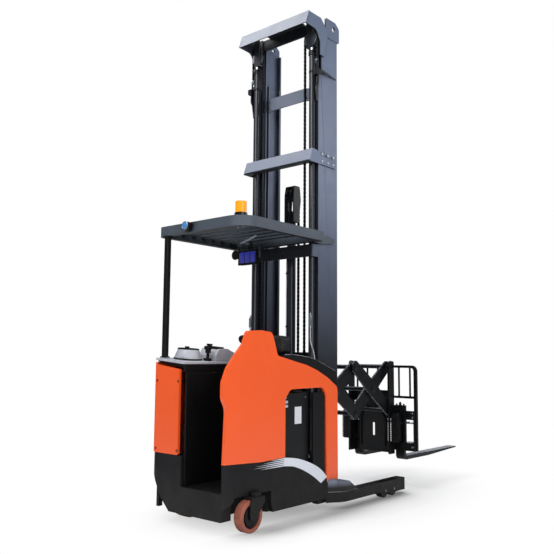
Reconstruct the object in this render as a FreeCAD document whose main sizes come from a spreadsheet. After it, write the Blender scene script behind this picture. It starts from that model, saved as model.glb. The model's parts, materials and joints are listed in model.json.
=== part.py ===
"""Stand-up double-deep reach truck: chassis, operator cab, three-stage mast, two-stage pantograph and forks.

Frame: x forward to the fork tips, y to the operator's left, z up, origin on the floor under the middle of
the object's own box.  Every solid is first made in the truck's drawing frame, whose x starts at the rear
bumper, and shifted to that origin when it is written.
"""
import FreeCAD
import Part
import Sketcher
import math
import os

V = FreeCAD.Vector
doc = FreeCAD.newDocument("ReachTruck")

# ------------------------------------------------------------------ driving dimensions (mm)
DIMENSIONS = [
    ("body_length", 1430, "rear bumper to front of the tractor"),
    ("hump_rear", -40, "rearmost point of the right panel's hump"),
    ("body_half", 430, "half the width of the tractor body"),
    ("skirt_base", 100, "floor clearance of the steel skirt"),
    ("skirt_top", 540, "joint between skirt and painted panels"),
    ("floor_height", 306, "operator's floor"),
    ("panel", 26, "thickness of a body panel"),
    ("bay_rear", 700, "rear wall of the battery bay"),
    ("bay_front", 1070, "front wall of the battery bay"),
    ("bay_floor", 290, "battery bay floor"),
    ("console_side", 60, "entry side of the console"),
    ("leg_half", 520, "half the width over the outriggers"),
    ("leg_wide", 105, "outrigger width"),
    ("leg_base", 35, "outrigger underside at the wheels"),
    ("leg_relief", 62, "outrigger underside behind the wheels"),
    ("leg_top", 150, "outrigger top"),
    ("leg_tip", 2440, "front end of the outriggers"),
    ("load_radius", 65, "load wheel radius"),
    ("load_wide", 68, "load wheel width"),
    ("load_rear_x", 2090, "rear load wheel centre"),
    ("load_front_x", 2245, "front load wheel centre"),
    ("drive_x", 300, "drive wheel centre"),
    ("drive_y", 285, "drive wheel centre, left of the middle"),
    ("drive_radius", 165, "drive wheel radius"),
    ("drive_wide", 110, "drive wheel width"),
    ("caster_x", 312, "caster swivel axis"),
    ("caster_y", 450, "caster swivel axis, right of the middle"),
    ("caster_trail", 75, "caster wheel centre behind its swivel axis"),
    ("caster_radius", 122, "caster wheel radius"),
    ("caster_wide", 80, "caster wheel width"),
    ("rail_rear", 1175, "rear face of the outer mast rails"),
    ("rail_front", 1467, "front face of the outer mast rails"),
    ("rail_half", 400, "half the width over the outer rails"),
    ("rail_foot", 60, "foot of the mast rails"),
    ("outer_top", 4340, "top of the outer rails"),
    ("inter_top", 4380, "top of the intermediate rails"),
    ("inner_top", 4010, "top of the inner rails"),
    ("cap_rear", 1000, "top rear edge of the intermediate mast's cap"),
    ("cap_half", 424, "half the width of the cap"),
    ("cap_low", 4358, "bottom edge of the cap"),
    ("cap_high", 4488, "top of the cap"),
    ("lift_x", 1145, "lift cylinder axis"),
    ("lift_y", 348, "lift cylinder axis off the middle"),
    ("lift_bore", 20, "lift rod radius"),
    ("sheave_y", 331, "chain sheave axis off the middle"),
    ("sheave_z", 4290, "chain sheave axis"),
    ("wing_low", 3922, "underside of the chain anchors on the outer rails"),
    ("pivot_x", 1390, "rear pivots of the pantograph"),
    ("pivot_top", 1231, "upper pivots of the pantograph"),
    ("pivot_low", 775, "lower pivots of the pantograph at rest"),
    ("stage", 620, "reach of one pantograph stage at rest"),
    ("link_wide", 112, "width of a pantograph link at its ends"),
    ("link_deep", 150, "width of a pantograph link at its middle"),
    ("link_thick", 20, "thickness of a pantograph link"),
    ("link_outer", 216, "inner face of the outer links"),
    ("link_inner", 186, "inner face of the inner links"),
    ("pin", 22, "radius of the pantograph pins"),
    ("frame_in", 242, "inner face of the carriage and front frame side plates"),
    ("shift_x", 2700, "side shift cylinder axis"),
    ("shift_z", 655, "side shift cylinder axis"),
    ("shift_rod", 11, "side shift rod radius"),
    ("fork_x", 2722, "rear face of the fork shanks"),
    ("fork_long", 1130, "fork length in front of the shank's face"),
    ("fork_wide", 100, "fork width"),
    ("fork_thick", 40, "fork thickness"),
    ("fork_base", 267, "underside of the forks at rest"),
    ("fork_right_y", -299, "middle of the right fork"),
    ("fork_left_y", 220, "middle of the left fork"),
    ("rest_half", 413, "half the width of the load backrest"),
    ("shift_rest", -90, "middle of the fork carriage, shifted to the right as it stands"),
    ("rest_top", 1245, "top of the load backrest"),
    ("guard_rear", 65, "rear edge of the overhead guard"),
    ("guard_right", 520, "right edge of the overhead guard"),
    ("guard_left", 503, "left edge of the overhead guard"),
    ("guard_base", 2345, "underside of the overhead guard"),
    ("guard_top", 2430, "top of the overhead guard"),
]

sheet = doc.addObject("Spreadsheet::Sheet", "Truck")
for row, (alias, value, meaning) in enumerate(DIMENSIONS, 1):
    sheet.set("A%d" % row, meaning)
    sheet.set("B%d" % row, str(value))
    sheet.setAlias("B%d" % row, alias)
doc.recompute()
D = {alias: float(sheet.get(alias)) for alias, value, meaning in DIMENSIONS}

TIP_X = D["fork_x"] + D["fork_thick"] + D["fork_long"]          # fork tips
ORIGIN_X = (TIP_X + D["hump_rear"]) / 2                         # middle of the object's length
NODES = {}


def t(alias):
    """A cell of the sheet, for use in an expression."""
    return "Truck." + alias


# ------------------------------------------------------------------ helpers
def bind(item, **expressions):
    """Bind properties of an object to expressions; base_x and the like drive its placement."""
    for prop, expression in expressions.items():
        path = prop.replace("base_", "Placement.Base.")
        item.setExpression(path, str(expression))
    return item


def box(name, long, wide, high, x, y, z):
    item = doc.addObject("Part::Box", name)
    return bind(item, Length=long, Width=wide, Height=high, base_x=x, base_y=y, base_z=z)


def cylinder(name, radius, high, x, y, z, axis="Z"):
    """A cylinder from (x, y, z) along the axis."""
    item = doc.addObject("Part::Cylinder", name)
    turn = {"Z": (V(0, 0, 1), 0), "Y": (V(1, 0, 0), -90), "X": (V(0, 1, 0), 90)}[axis]
    item.Placement.Rotation = FreeCAD.Rotation(*turn)
    return bind(item, Radius=radius, Height=high, base_x=x, base_y=y, base_z=z)


def fuse(name, *items):
    item = doc.addObject("Part::MultiFuse", name)
    item.Shapes = list(items)
    item.Refine = True
    return item


def cut(name, base, *tools):
    item = doc.addObject("Part::Cut", name)
    item.Base = base
    item.Tool = tools[0] if len(tools) == 1 else fuse(name + "_tool", *tools)
    item.Refine = True
    return item


def group(name, *items):
    """Solids that share a node and don't touch."""
    item = doc.addObject("Part::Compound", name)
    item.Links = list(items)
    return item


def mirrored(item):
    """The same piece on the other side of the truck's middle plane."""
    other = doc.addObject("Part::Mirroring", item.Name + "_left")
    other.Source = item
    other.Normal = V(0, 1, 0)
    return other


def pair(name, item):
    return group(name, item, mirrored(item))


def outline(points):
    """Edges of a closed outline; a point with a third value has its corner rounded to that radius."""
    count = len(points)
    ends = []
    for i, point in enumerate(points):
        here = V(point[0], point[1], 0)
        radius = point[2] if len(point) > 2 else 0
        if not radius:
            ends.append((here, None, here))
            continue
        before = V(*points[i - 1][:2], 0) - here
        after = V(*points[(i + 1) % count][:2], 0) - here
        turn = before.getAngle(after)
        reach = radius / math.tan(turn / 2)
        start = here + before.normalize() * reach
        end = here + after.normalize() * reach
        middle = (before + after).normalize()
        crown = here + middle * (radius / math.sin(turn / 2) - radius)
        ends.append((start, crown, end))
    edges = []
    for i, (start, crown, end) in enumerate(ends):
        if crown is not None:
            edges.append(Part.Arc(start, crown, end))
        following = ends[(i + 1) % count][0]
        if (following - end).Length > 1e-6:
            edges.append(Part.LineSegment(end, following))
    return edges


PLANES = {"XY": "XY_Plane", "XZ": "XZ_Plane", "YZ": "YZ_Plane"}


def body(name):
    return doc.addObject("PartDesign::Body", name)


def sketch(owner, name, plane, outlines, offset=None):
    """A sketch on one of the body's origin planes, moved along its normal by the offset's expression."""
    item = owner.newObject("Sketcher::SketchObject", name)
    role = PLANES[plane]
    feature = [f for f in owner.Origin.OriginFeatures if f.Role == role][0]
    item.AttachmentSupport = [(feature, "")]
    item.MapMode = "FlatFace"
    for points in outlines:
        for edge in outline(points):
            index = item.addGeometry(edge, False)
            item.addConstraint(Sketcher.Constraint("Block", index))
    if offset is not None:
        item.setExpression("AttachmentOffset.Base.z", str(offset))
    return item


def pad(owner, name, plane, outlines, length, offset=None, reverse=False, midplane=False):
    profile = sketch(owner, name + "_sketch", plane, outlines, offset)
    item = owner.newObject("PartDesign::Pad", name)
    item.Profile = profile
    item.Length = 10
    item.setExpression("Length", str(length))
    item.Reversed = reverse
    item.SideType = "Symmetric" if midplane else "One side"
    return item


def pocket(owner, name, plane, outlines, length, offset=None, reverse=False, midplane=False):
    profile = sketch(owner, name + "_sketch", plane, outlines, offset)
    item = owner.newObject("PartDesign::Pocket", name)
    item.Profile = profile
    item.Length = 10
    item.setExpression("Length", str(length))
    item.Reversed = reverse
    item.SideType = "Symmetric" if midplane else "One side"
    return item


def slab(name, plane, points, length, offset=None, holes=(), midplane=False, reverse=False):
    """One body padded from an outline with holes."""
    owner = body(name)
    pad(owner, name + "_pad", plane, [points] + list(holes), length, offset, reverse, midplane)
    return owner


def ring(x, y, radius):
    """A round hole's outline, as four quarter arcs."""
    r = radius
    return [(x - r, y - r, r * 0.9999), (x + r, y - r, r * 0.9999),
            (x + r, y + r, r * 0.9999), (x - r, y + r, r * 0.9999)]


def rectangle(x0, y0, x1, y1, radius=0):
    return [(x0, y0, radius), (x1, y0, radius), (x1, y1, radius), (x0, y1, radius)]


def node(name, item):
    """Give a sub-part its node's name."""
    item.Label = name
    NODES[name] = item
    return item


# ------------------------------------------------------------------ tractor body
def chassis():
    """Steel skirt with the operator's well, battery bay, and the wells of the drive wheel and caster."""
    b, top = D["body_half"], D["skirt_top"]
    owner = body("chassis")
    plan = [(0, b, 70), (0, -b + 38), (70, -b), (D["body_length"], -b, 12), (D["body_length"], b, 12)]
    pad(owner, "skirt_block", "XY", [plan], t("skirt_top") + "+3-" + t("skirt_base"), t("skirt_base"))
    # the top edge carries the painted panels and falls away in front of the battery's sill
    sill = [(-20, top + 40), (-20, top + 3), (26, top + 1), (160, 511, 400), (410, 499, 600), (684, 507),
            (887, 468, 500), (1093, 375, 500), (1260, 275), (1267, 238), (1500, 238), (1500, top + 40)]
    pocket(owner, "sill_cut", "XZ", [sill], "2*%s+40" % t("body_half"), midplane=True)
    heel = [(-20, 519), (60, 518), (160, 510), (160, 560), (-20, 560)]
    pocket(owner, "heel_cut", "XZ", [heel], "60", t("body_half") + "-28", reverse=True)
    well = rectangle(-20, -b + 38, 680, D["console_side"])
    pocket(owner, "operator_well", "XY", [well], t("skirt_top"), t("floor_height"), reverse=True)
    bay = rectangle(D["bay_rear"], -b + 30, D["bay_front"], b - 30)
    pocket(owner, "battery_bay", "XY", [bay], t("skirt_top"), t("bay_floor"), reverse=True)
    mast_well = rectangle(D["bay_front"] + 8, -b + 28, D["body_length"] + 20, b - 28)
    pocket(owner, "mast_well", "XY", [mast_well], t("skirt_top") + "+100", "0", reverse=True)
    motor = rectangle(30, D["console_side"] + 30, 660, b - 30)
    pocket(owner, "motor_bay", "XY", [motor], t("skirt_top") + "+100", "0", reverse=True)
    arch = [(-20, 0), (-20, 150), (30, 200), (90, 238), (230, 250), (460, 234), (520, 190), (560, 60),
            (560, 0)]
    pocket(owner, "caster_arch", "XZ", [arch], "60", t("body_half") + "-40", reverse=True)
    pocket(owner, "caster_well", "XY", [ring(D["caster_x"], -D["caster_y"], 212)], "268", "0", reverse=True)
    pocket(owner, "caster_seat", "XY", [ring(D["caster_x"], -D["caster_y"], 52)], "294", "0", reverse=True)
    left_arch = [(110, 0), (110, 250), (158, 335), (238, 362), (368, 362), (458, 320), (492, 250), (492, 0)]
    pocket(owner, "drive_arch", "XZ", [left_arch], "60", "-%s-10" % t("body_half"), reverse=True)
    corner = [(b + 20, 363), (b - 36, 363), (303, 202), (187, 91), (187, 0), (b + 20, 0)]
    pocket(owner, "rear_undercut", "YZ", [corner], "80", "-10", reverse=True)
    return node("chassis", owner)


def compartment_liner():
    """Black walls round the operator: console side, front wall and the inside of the right hump."""
    thick, front = 18, 680
    side, right = D["console_side"], -D["body_half"] + 38
    plan = [(26, side), (front, side), (front, right), (90, right), (90, right + thick),
            (front - thick, right + thick, 60), (front - thick, side - thick, 60), (26, side - thick)]
    return node("compartment_liner", slab("compartment_liner", "XY", plan, "1195-" + t("floor_height"),
                                          t("floor_height")))


def rear_panel():
    """Painted rear door under the console, its top edge sloping up to the left."""
    left, right = D["body_half"] - 42, D["console_side"] + 46
    face = [(right, 545, 12), (left, 545, 12), (left, 1258, 14), (right, 1220, 14)]
    return node("rear_panel", slab("rear_panel", "YZ", face, "24", "0"))


def side_outline():
    """Side view of the right panel: operator's hump at the rear, battery window and front leg."""
    back = D["hump_rear"]
    return [(-14, 522), (4, 930, 120), (back, 1010, 60), (back, 1130, 110), (8, 1240, 160), (100, 1345, 120),
            (180, 1425, 60),
            (222, 1528, 40), (394, 1537, 300), (520, 1524, 40), (556, 1440, 60), (592, 1335, 40),
            (663, 1321, 60), (827, 1287, 600), (978, 1258, 600), (1134, 1208, 600), (1273, 1148, 500),
            (1425, 1060, 60), (1430, 240), (1268, 240), (1262, 290),
            (1251, 1000, 60), (1200, 1062, 40), (760, 1057, 60), (694, 985, 50), (694, 514), (660, 509),
            (410, 502, 600), (160, 514, 400)]


def side_panel(name, points, inner):
    owner = slab(name, "XZ", points, t("panel"), inner)
    return node(name, owner)


def left_outline():
    return [(26, 542), (26, 1275), (662, 1275), (666, 1321), (827, 1287, 600), (978, 1258, 600),
            (1134, 1208, 600), (1273, 1148, 500), (1425, 1060, 60), (1430, 240), (1268, 240), (1262, 290),
            (1251, 1000, 60), (1200, 1062, 40), (760, 1057, 60), (694, 985, 50), (694, 514), (660, 509),
            (410, 502, 600), (160, 514, 400)]


def bay_covers():
    """Black plates that close the front of the battery windows, beside the mast."""
    face = [(1074, 392), (1245, 292), (1245, 985, 20), (1225, 1020, 20), (1074, 1020)]
    return node("bay_covers", pair("bay_covers", slab("bay_cover", "XZ", face, "16", "406")))


def battery():
    owner = body("battery")
    half = D["body_half"] - 48
    face = rectangle(-half, D["bay_floor"], half, 1030, 14)
    pad(owner, "case", "YZ", [face], "%s-%s-24" % (t("bay_front"), t("bay_rear")), t("bay_rear") + "+12")
    return node("battery", owner)


def battery_hood():
    """Black hood over the battery, with cheeks that run forward over the arches to the mast."""
    owner = body("battery_hood")
    inside = "2*(%s-%s-2)" % (t("body_half"), t("panel"))
    side = [(684, 1070), (684, 1322, 20), (790, 1343, 60), (1030, 1322, 300), (1091, 1308), (1091, 1070)]
    pad(owner, "hood_block", "XZ", [side], inside, midplane=True)
    hollow = [(702, 1000), (702, 1290), (1030, 1290), (1075, 1280), (1075, 1000)]
    pocket(owner, "hood_hollow", "XZ", [hollow], inside + "-36", midplane=True)
    cheek = [(670, 1322), (674, 1340, 10), (787, 1345, 200), (1029, 1322, 300), (1112, 1303, 300),
             (1407, 1200, 60), (1426, 1150), (1426, 1075), (1273, 1149.5, 500), (1134, 1209.5, 600),
             (978, 1259.5, 600),
             (827, 1288.5, 600)]
    for word, offset in (("right", t("body_half") + "-28"), ("left", "6-" + t("body_half"))):
        pad(owner, "hood_cheek_" + word, "XZ", [cheek], "22", offset)
    return node("battery_hood", owner)


def console_top():
    """Silver console lid over the drive motor, rising a little to the left."""
    left, right = D["body_half"] - 14, D["console_side"] + 6
    face = [(right, 1262), (left, 1292), (left, 1312, 8), (right, 1282, 8)]
    return node("console_top", slab("console_top", "YZ", face, "646", "14"))


def console_rim():
    """Black rim between the console lid and the painted panels."""
    left, right = D["body_half"] - 28, D["console_side"] + 2
    face = [(right, 1197), (right, 1261), (left, 1290), (left, 1277), (left - 12, 1277), (right + 20, 1232),
            (right + 20, 1197)]
    return node("console_rim", slab("console_rim", "YZ", face, "636", "26"))


CONSOLE_SLOPE = math.degrees(math.atan2(30, 350))      # the lid's rise to the left


def steering_tiller():
    owner = body("steering_tiller")
    dome = [(0, 0), (112, 0), (122, 14, 6), (118, 34, 10), (96, 78, 24), (40, 104, 60), (0, 106)]
    profile = sketch(owner, "dome_profile", "XZ", [dome])
    turn = owner.newObject("PartDesign::Revolution", "dome")
    turn.Profile = profile
    turn.ReferenceAxis = (profile, ["V_Axis"])
    turn.Angle = 360
    owner.Placement = FreeCAD.Placement(V(222, 250, 1301), FreeCAD.Rotation(V(1, 0, 0), CONSOLE_SLOPE))
    return node("steering_tiller", owner)


def control_handle():
    """Multi-function handle on its pod, at the entry side of the console."""
    stem = cylinder("handle_stem", "13", "70", "0", "0", "12")
    grip = cylinder("handle_grip", "24", "54", "0", "0", "66")
    foot = cylinder("handle_foot", "34", "22", "0", "0", "0")
    item = fuse("control_handle", stem, grip, foot)
    item.Placement = FreeCAD.Placement(V(330, 128, 1288), FreeCAD.Rotation(V(1, 0, 0), CONSOLE_SLOPE))
    return node("control_handle", item)


def control_pod():
    """Sloped silver pod for the display, in front of the handle."""
    side = [(390, 0), (640, 0), (640, 58, 24), (520, 104, 40), (420, 96, 30), (390, 40, 20)]
    item = slab("control_pod", "XZ", side, "210", "-230")
    item.Placement = FreeCAD.Placement(V(0, 70, 1286), FreeCAD.Rotation(V(1, 0, 0), CONSOLE_SLOPE))
    return node("control_pod", item)


def back_pad():
    """Padded rest on the front wall of the compartment."""
    face = rectangle(-385, 1346, -178, 1508, 30)
    return node("back_pad", slab("back_pad", "YZ", face, "150", "690"))


# ------------------------------------------------------------------ overhead guard
def overhead_guard():
    """Welded frame with bars over the operator, carried by the mast and one rear post."""
    owner = body("overhead_guard")
    rear, right, left = D["guard_rear"], -D["guard_right"], D["guard_left"]
    front = D["lift_x"] - 45
    rim = [(rear, right, 170), (front, right), (front, left), (rear, left, 70)]
    pad(owner, "guard_rim", "XY", [rim], "%s-%s" % (t("guard_top"), t("guard_base")), t("guard_base"))
    hole = [(rear + 50, right + 50, 120), (front - 60, right + 50, 40), (front - 60, left - 50, 40),
            (rear + 50, left - 50, 40)]
    pocket(owner, "guard_opening", "XY", [hole], "300", t("guard_base") + "-10", reverse=True)
    pitch, wide = 122, 46
    for index in range(7):
        x = rear + 110 + index * pitch
        bar = rectangle(x, right + 40, x + wide, left - 40)
        pad(owner, "guard_bar_%d" % index, "XY", [bar], "34", t("guard_top") + "-40")
    return node("overhead_guard", owner)


def guard_brackets():
    """Arms from the guard to the outer mast rails."""
    arm = [(D["lift_x"] - 44, 2345), (D["lift_x"] - 44, 2425), (D["rail_front"] - 70, 2410),
           (D["rail_front"] - 60, 2370, 20), (D["rail_rear"] + 40, 2345, 60)]
    one = slab("guard_bracket", "XZ", arm, "16", t("rail_half") + "+1")
    return node("guard_brackets", pair("guard_brackets", one))


def guard_post():
    owner = body("guard_post")
    foot = rectangle(66, 368, 112, 414, 10)
    pad(owner, "post", "XY", [foot], "%s-1312" % t("guard_base"), "1312")
    return node("guard_post", owner)


def beacon():
    base = cylinder("beacon_base", "52", "24", "150", "-412", t("guard_top"))
    lens = cylinder("beacon_lens", "45", "96", "150", "-412", t("guard_top") + "+22")
    return node("beacon", fuse("beacon", base, lens))


def guard_lights():
    """Round spot lamp on the guard's rear edge, and the square work lamp hung under its front."""
    spot = cylinder("spot_lamp", "36", "44", "8", "91", "2394", "X")
    shoe = box("spot_shoe", "16", "40", "40", t("guard_rear") + "-16", "71", "2372")
    lamp = box("work_lamp", "44", "216", "132", "880", "88", "2172")
    hanger = box("work_lamp_hanger", "12", "50", "92", "908", "170", "2298")
    lamps = (fuse("spot_on_shoe", spot, shoe), fuse("lamp_on_hanger", lamp, hanger))
    return node("guard_lights", group("guard_lights", *lamps))


# ------------------------------------------------------------------ outriggers and wheels
def outrigger():
    """Right base leg: root curving out from the skirt, long box section, slots for two load wheels."""
    owner = body("outrigger_blank")
    half, wide = D["leg_half"], D["leg_wide"]
    inner = -half + wide
    root = -D["body_half"] - 0.5
    front = D["body_length"]
    plan = [(1180, root), (1266, root, 60), (1400, -half, 200), (D["leg_tip"], -half, 10),
            (D["leg_tip"], inner, 10), (front + 6, inner), (front + 6, root)]
    pad(owner, "leg", "XY", [plan], "%s-%s" % (t("leg_top"), t("leg_base")), t("leg_base"))
    under, shoe = D["leg_relief"], D["load_rear_x"] - 96
    relief = [(1100, 0), (1100, under), (shoe, under), (shoe + 26, 0)]
    pocket(owner, "leg_relief", "XZ", [relief], "2*%s+20" % t("leg_half"), midplane=True)
    reach = D["load_radius"] + 6
    slots = [rectangle(D[place] - reach, -half + 13, D[place] + reach, inner - 13, 6)
             for place in ("load_rear_x", "load_front_x")]
    pocket(owner, "wheel_slots", "XY", slots, "400", "-10", reverse=True)
    bores = [ring(D[place], D["load_radius"], 12) for place in ("load_rear_x", "load_front_x")]
    inside = "%s-%s-10" % (t("leg_half"), t("leg_wide"))
    pocket(owner, "axle_bores", "XZ", bores, t("leg_wide") + "+20", inside, reverse=True)
    return owner


def outriggers():
    right = outrigger()
    node("outrigger_right", right)
    other = mirrored(right)
    node("outrigger_left", other)


def shoe_covers():
    """Humped covers where the legs leave the body."""
    owner = body("shoe_cover_blank")
    half, inner, high = D["leg_half"] - 4, D["body_half"] + 1, 262
    plan = [(1276, -inner), (1402, -half, 190), (1612, -half, 12), (1612, -inner)]
    pad(owner, "cover", "XY", [plan], "%d-%s" % (high, t("leg_top")), t("leg_top"))
    above = [(1260, high + 20), (1260, high), (1380, high - 5, 60), (1486, high - 26, 60),
             (1613, D["leg_top"]), (1640, D["leg_top"]), (1640, high + 20)]
    pocket(owner, "cover_slope", "XZ", [above], "2*%s+20" % t("leg_half"), midplane=True)
    return node("shoe_covers", pair("shoe_covers", owner))


def load_axles():
    """Axle pins of the load wheels, end to end through the legs' side plates."""
    pins = []
    for place in ("load_rear_x", "load_front_x"):
        pins.append(cylinder(place + "_pin", "12", "%s-4" % t("leg_wide"), t(place),
                             "-%s+2" % t("leg_half"), t("load_radius"), "Y"))
    one = group("axle_pair", *pins)
    return node("load_axles", pair("load_axles", one))


def load_wheel(name, place, side):
    """Polyurethane wheel with rounded edges and a bore for its axle."""
    owner = body(name)
    r, w = D["load_radius"], D["load_wide"] / 2
    middle = side * (D["leg_half"] - D["leg_wide"] / 2)
    section = [(-w, 12.1), (w, 12.1), (w, r, 7), (-w, r, 7)]
    profile = sketch(owner, name + "_section", "XY", [section])
    turn = owner.newObject("PartDesign::Revolution", name + "_turn")
    turn.Profile = profile
    turn.ReferenceAxis = (profile, ["H_Axis"])
    turn.Angle = 360
    owner.Placement.Rotation = FreeCAD.Rotation(V(0, 0, 1), 90)
    bind(owner, base_x=t(place), base_y=str(middle), base_z=t("load_radius"))
    return node(name, owner)


def wheel(name, radius, wide, bore, x, y, z, edge):
    """A wheel turned round an axis along y."""
    owner = body(name)
    r, w = D[radius], D[wide] / 2
    section = [(-w, bore), (w, bore), (w, r * 0.62), (w - 12, r * 0.66), (w - 12, r * 0.72), (w, r * 0.76),
               (w, r, edge), (-w, r, edge), (-w, r * 0.76), (-w + 12, r * 0.72), (-w + 12, r * 0.66),
               (-w, r * 0.62)]
    profile = sketch(owner, name + "_section", "XY", [section])
    turn = owner.newObject("PartDesign::Revolution", name + "_turn")
    turn.Profile = profile
    turn.ReferenceAxis = (profile, ["H_Axis"])
    turn.Angle = 360
    owner.Placement.Rotation = FreeCAD.Rotation(V(0, 0, 1), 90)
    bind(owner, base_x=x, base_y=y, base_z=z)
    return node(name, owner)


def drive_unit():
    """Gear leg beside the drive wheel, turntable and upright motor on the steering axis."""
    x, y = t("drive_x"), t("drive_y")
    beside = "%s-%s/2-64" % (y, t("drive_wide"))
    leg = box("gear_leg", "130", "58", "252", x + "-65", beside, "%s-70" % t("drive_radius"))
    head = cylinder("gear_head", "70", "50", x, y, "340")
    shelf = box("gear_shelf", "130", "100", "40", x + "-65", beside, "340")
    motor = cylinder("motor_case", "72", "360", x, y, "388")
    stub = cylinder("drive_axle", "25", "%s+20" % t("drive_wide"), x, "%s-%s/2-20" % (y, t("drive_wide")),
                    t("drive_radius"), "Y")
    return node("drive_unit", fuse("drive_unit", leg, head, shelf, motor, stub))


def caster_fork():
    """Swivel bearing, bridge, raked cheek plates and axle of the caster."""
    y, wide = "-" + t("caster_y"), t("caster_wide")
    x, r = D["caster_x"], D["caster_radius"]
    hub = x - D["caster_trail"]
    bearing = cylinder("swivel_bearing", "44", "36", str(x), y, "256")
    bridge = box("caster_bridge", "150", wide + "+32", "12", str(hub - 20), "%s-%s/2-16" % (y, wide), "250")
    cheek = [(hub - 34, r - 20, 30), (hub + 20, r - 38, 30), (hub + 130, 225, 20), (hub + 130, 262),
             (hub - 20, 262), (hub - 34, 200, 20)]
    outer = slab("cheek_outer", "XZ", cheek, "10", "%s+%s/2+6" % (t("caster_y"), wide))
    inner = slab("cheek_inner", "XZ", cheek, "10", "%s-%s/2-16" % (t("caster_y"), wide))
    pin = cylinder("caster_pin", "15", wide + "+34", str(hub), "%s-%s/2-17" % (y, wide), str(r), "Y")
    return node("caster_fork", fuse("caster_fork", bearing, bridge, outer, inner, pin))


# ------------------------------------------------------------------ mast
def channel(name, rear, front, web_out, web_in, lip, flange, foot, head):
    """A mast rail of C section on the right side; the flanges reach to the lip."""
    plan = [(rear, -web_out), (front, -web_out), (front, -lip), (front - flange, -lip),
            (front - flange, -web_in), (rear + flange, -web_in), (rear + flange, -lip), (rear, -lip)]
    return slab(name, "XY", plan, "%s-(%s)" % (head, foot), foot)


def outer_mast():
    """Outer channels, notched at the top for the chains, with their cross members and chain anchors."""
    rear, half, low = D["rail_rear"], D["rail_half"], D["wing_low"]
    rail = channel("outer_rail", rear, D["rail_front"], half, half - 18, 336, 22, t("rail_foot"),
                   t("outer_top"))
    notch = [(rear - 10, low + 50), (rear + 46, low + 50, 20), (rear + 46, 4500), (rear - 10, 4500)]
    pocket(rail, "rail_notch", "XZ", [notch], "200", "300", reverse=True)
    node("outer_rails", pair("outer_rails", rail))
    # middle cross member: a leaning plate, with wings that taper along the outer faces of the rails
    lean = [(1037, 3096), (1078, 3210), (1090, 3210), (1049, 3096)]
    plate = slab("middle_plate", "XZ", lean, "2*%s+20" % t("rail_half"), midplane=True)
    wing = [(1037, 3084), (1037, 3096), (1078, 3210), (1140, 3206), (1425, 3098), (1425, 3084)]
    wings = pair("middle_wings", slab("middle_wing", "XZ", wing, "10", t("rail_half")))
    shelf = [(1040, -half - 5), (1108, -half - 5), (1108, half + 5), (1040, half + 5)]
    bottom = slab("middle_shelf", "XY", shelf, "10", "3084")
    middle = fuse("middle_crossbar", plate, wings, bottom)
    bars = []
    for word, base, high, back in (("upper", 2222, 112, 1092), ("lower", 300, 200, 1090)):
        bar = [(back, -half + 10), (back, half - 10), (back + 10, half), (rear, half), (rear, half - 12),
               (back + 13, half - 12), (back + 13, -half + 12), (rear, -half + 12), (rear, -half),
               (back + 10, -half)]
        bars.append(slab(word + "_crossbar", "XY", bar, str(high), str(base)))
    node("outer_crossbars", group("outer_crossbars", middle, *bars))
    node("chain_anchors", pair("chain_anchors", chain_anchor()))


def chain_anchor():
    """Bracket on the outer rail that holds the end of the lift chain's threaded rod."""
    low, half, rear = D["wing_low"], D["rail_half"], D["rail_rear"]
    plan = [(1105, -386), (1105, -430), (rear, -442), (1440, -half - 5), (1440, -half), (rear - 1, -half),
            (rear - 1, -386)]
    shelf = slab("anchor_shelf", "XY", plan, "12", "%g" % (low + 37))
    lip = [(1105, -386), (1105, -430), (rear, -442), (rear, -430), (1116, -420), (1116, -386)]
    skirt = slab("anchor_lip", "XY", lip, "45", t("wing_low"))
    web = [(1112, low + 40), (rear - 1, low + 40), (rear - 1, low - 240), (1150, low - 240), (1112, low - 20)]
    gusset = slab("anchor_gusset", "XZ", web, "9", "388")
    stud = cylinder("anchor_stud", "9", "240", "1145", "-408", "%g" % (low - 100))
    nut = cylinder("anchor_nut", "17", "60", "1145", "-408", "%g" % (low - 80))
    return fuse("chain_anchor", shelf, skirt, gusset, stud, nut)


def lift_cylinders():
    y = "-" + t("lift_y")
    barrel = cylinder("lift_barrel", "28", "4040", t("lift_x"), y, "110")
    bore = cylinder("lift_barrel_bore", t("lift_bore") + "+0.3", "4040", t("lift_x"), y, "140")
    one = cut("lift_barrel_right", barrel, bore)
    return node("lift_cylinders", pair("lift_cylinders", one))


def intermediate_mast():
    """I-section rails nested in the outer channels."""
    rear, front = 1205, 1437
    plan = [(rear, -372), (rear + 20, -372), (rear + 20, -332), (front - 20, -332), (front - 20, -372),
            (front, -372), (front, -278), (front - 20, -278), (front - 20, -318), (rear + 20, -318),
            (rear + 20, -278), (rear, -278)]
    high = "%s-%s-10" % (t("inter_top"), t("rail_foot"))
    rail = slab("inter_rail", "XY", plan, high, t("rail_foot") + "+10")
    node("inter_rails", pair("inter_rails", rail))
    tie = slab("inter_tie", "XY", [(1190, -300), (1190, 300), (1205, 300), (1205, -300)], "120", "200")
    node("inter_tie", tie)


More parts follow.
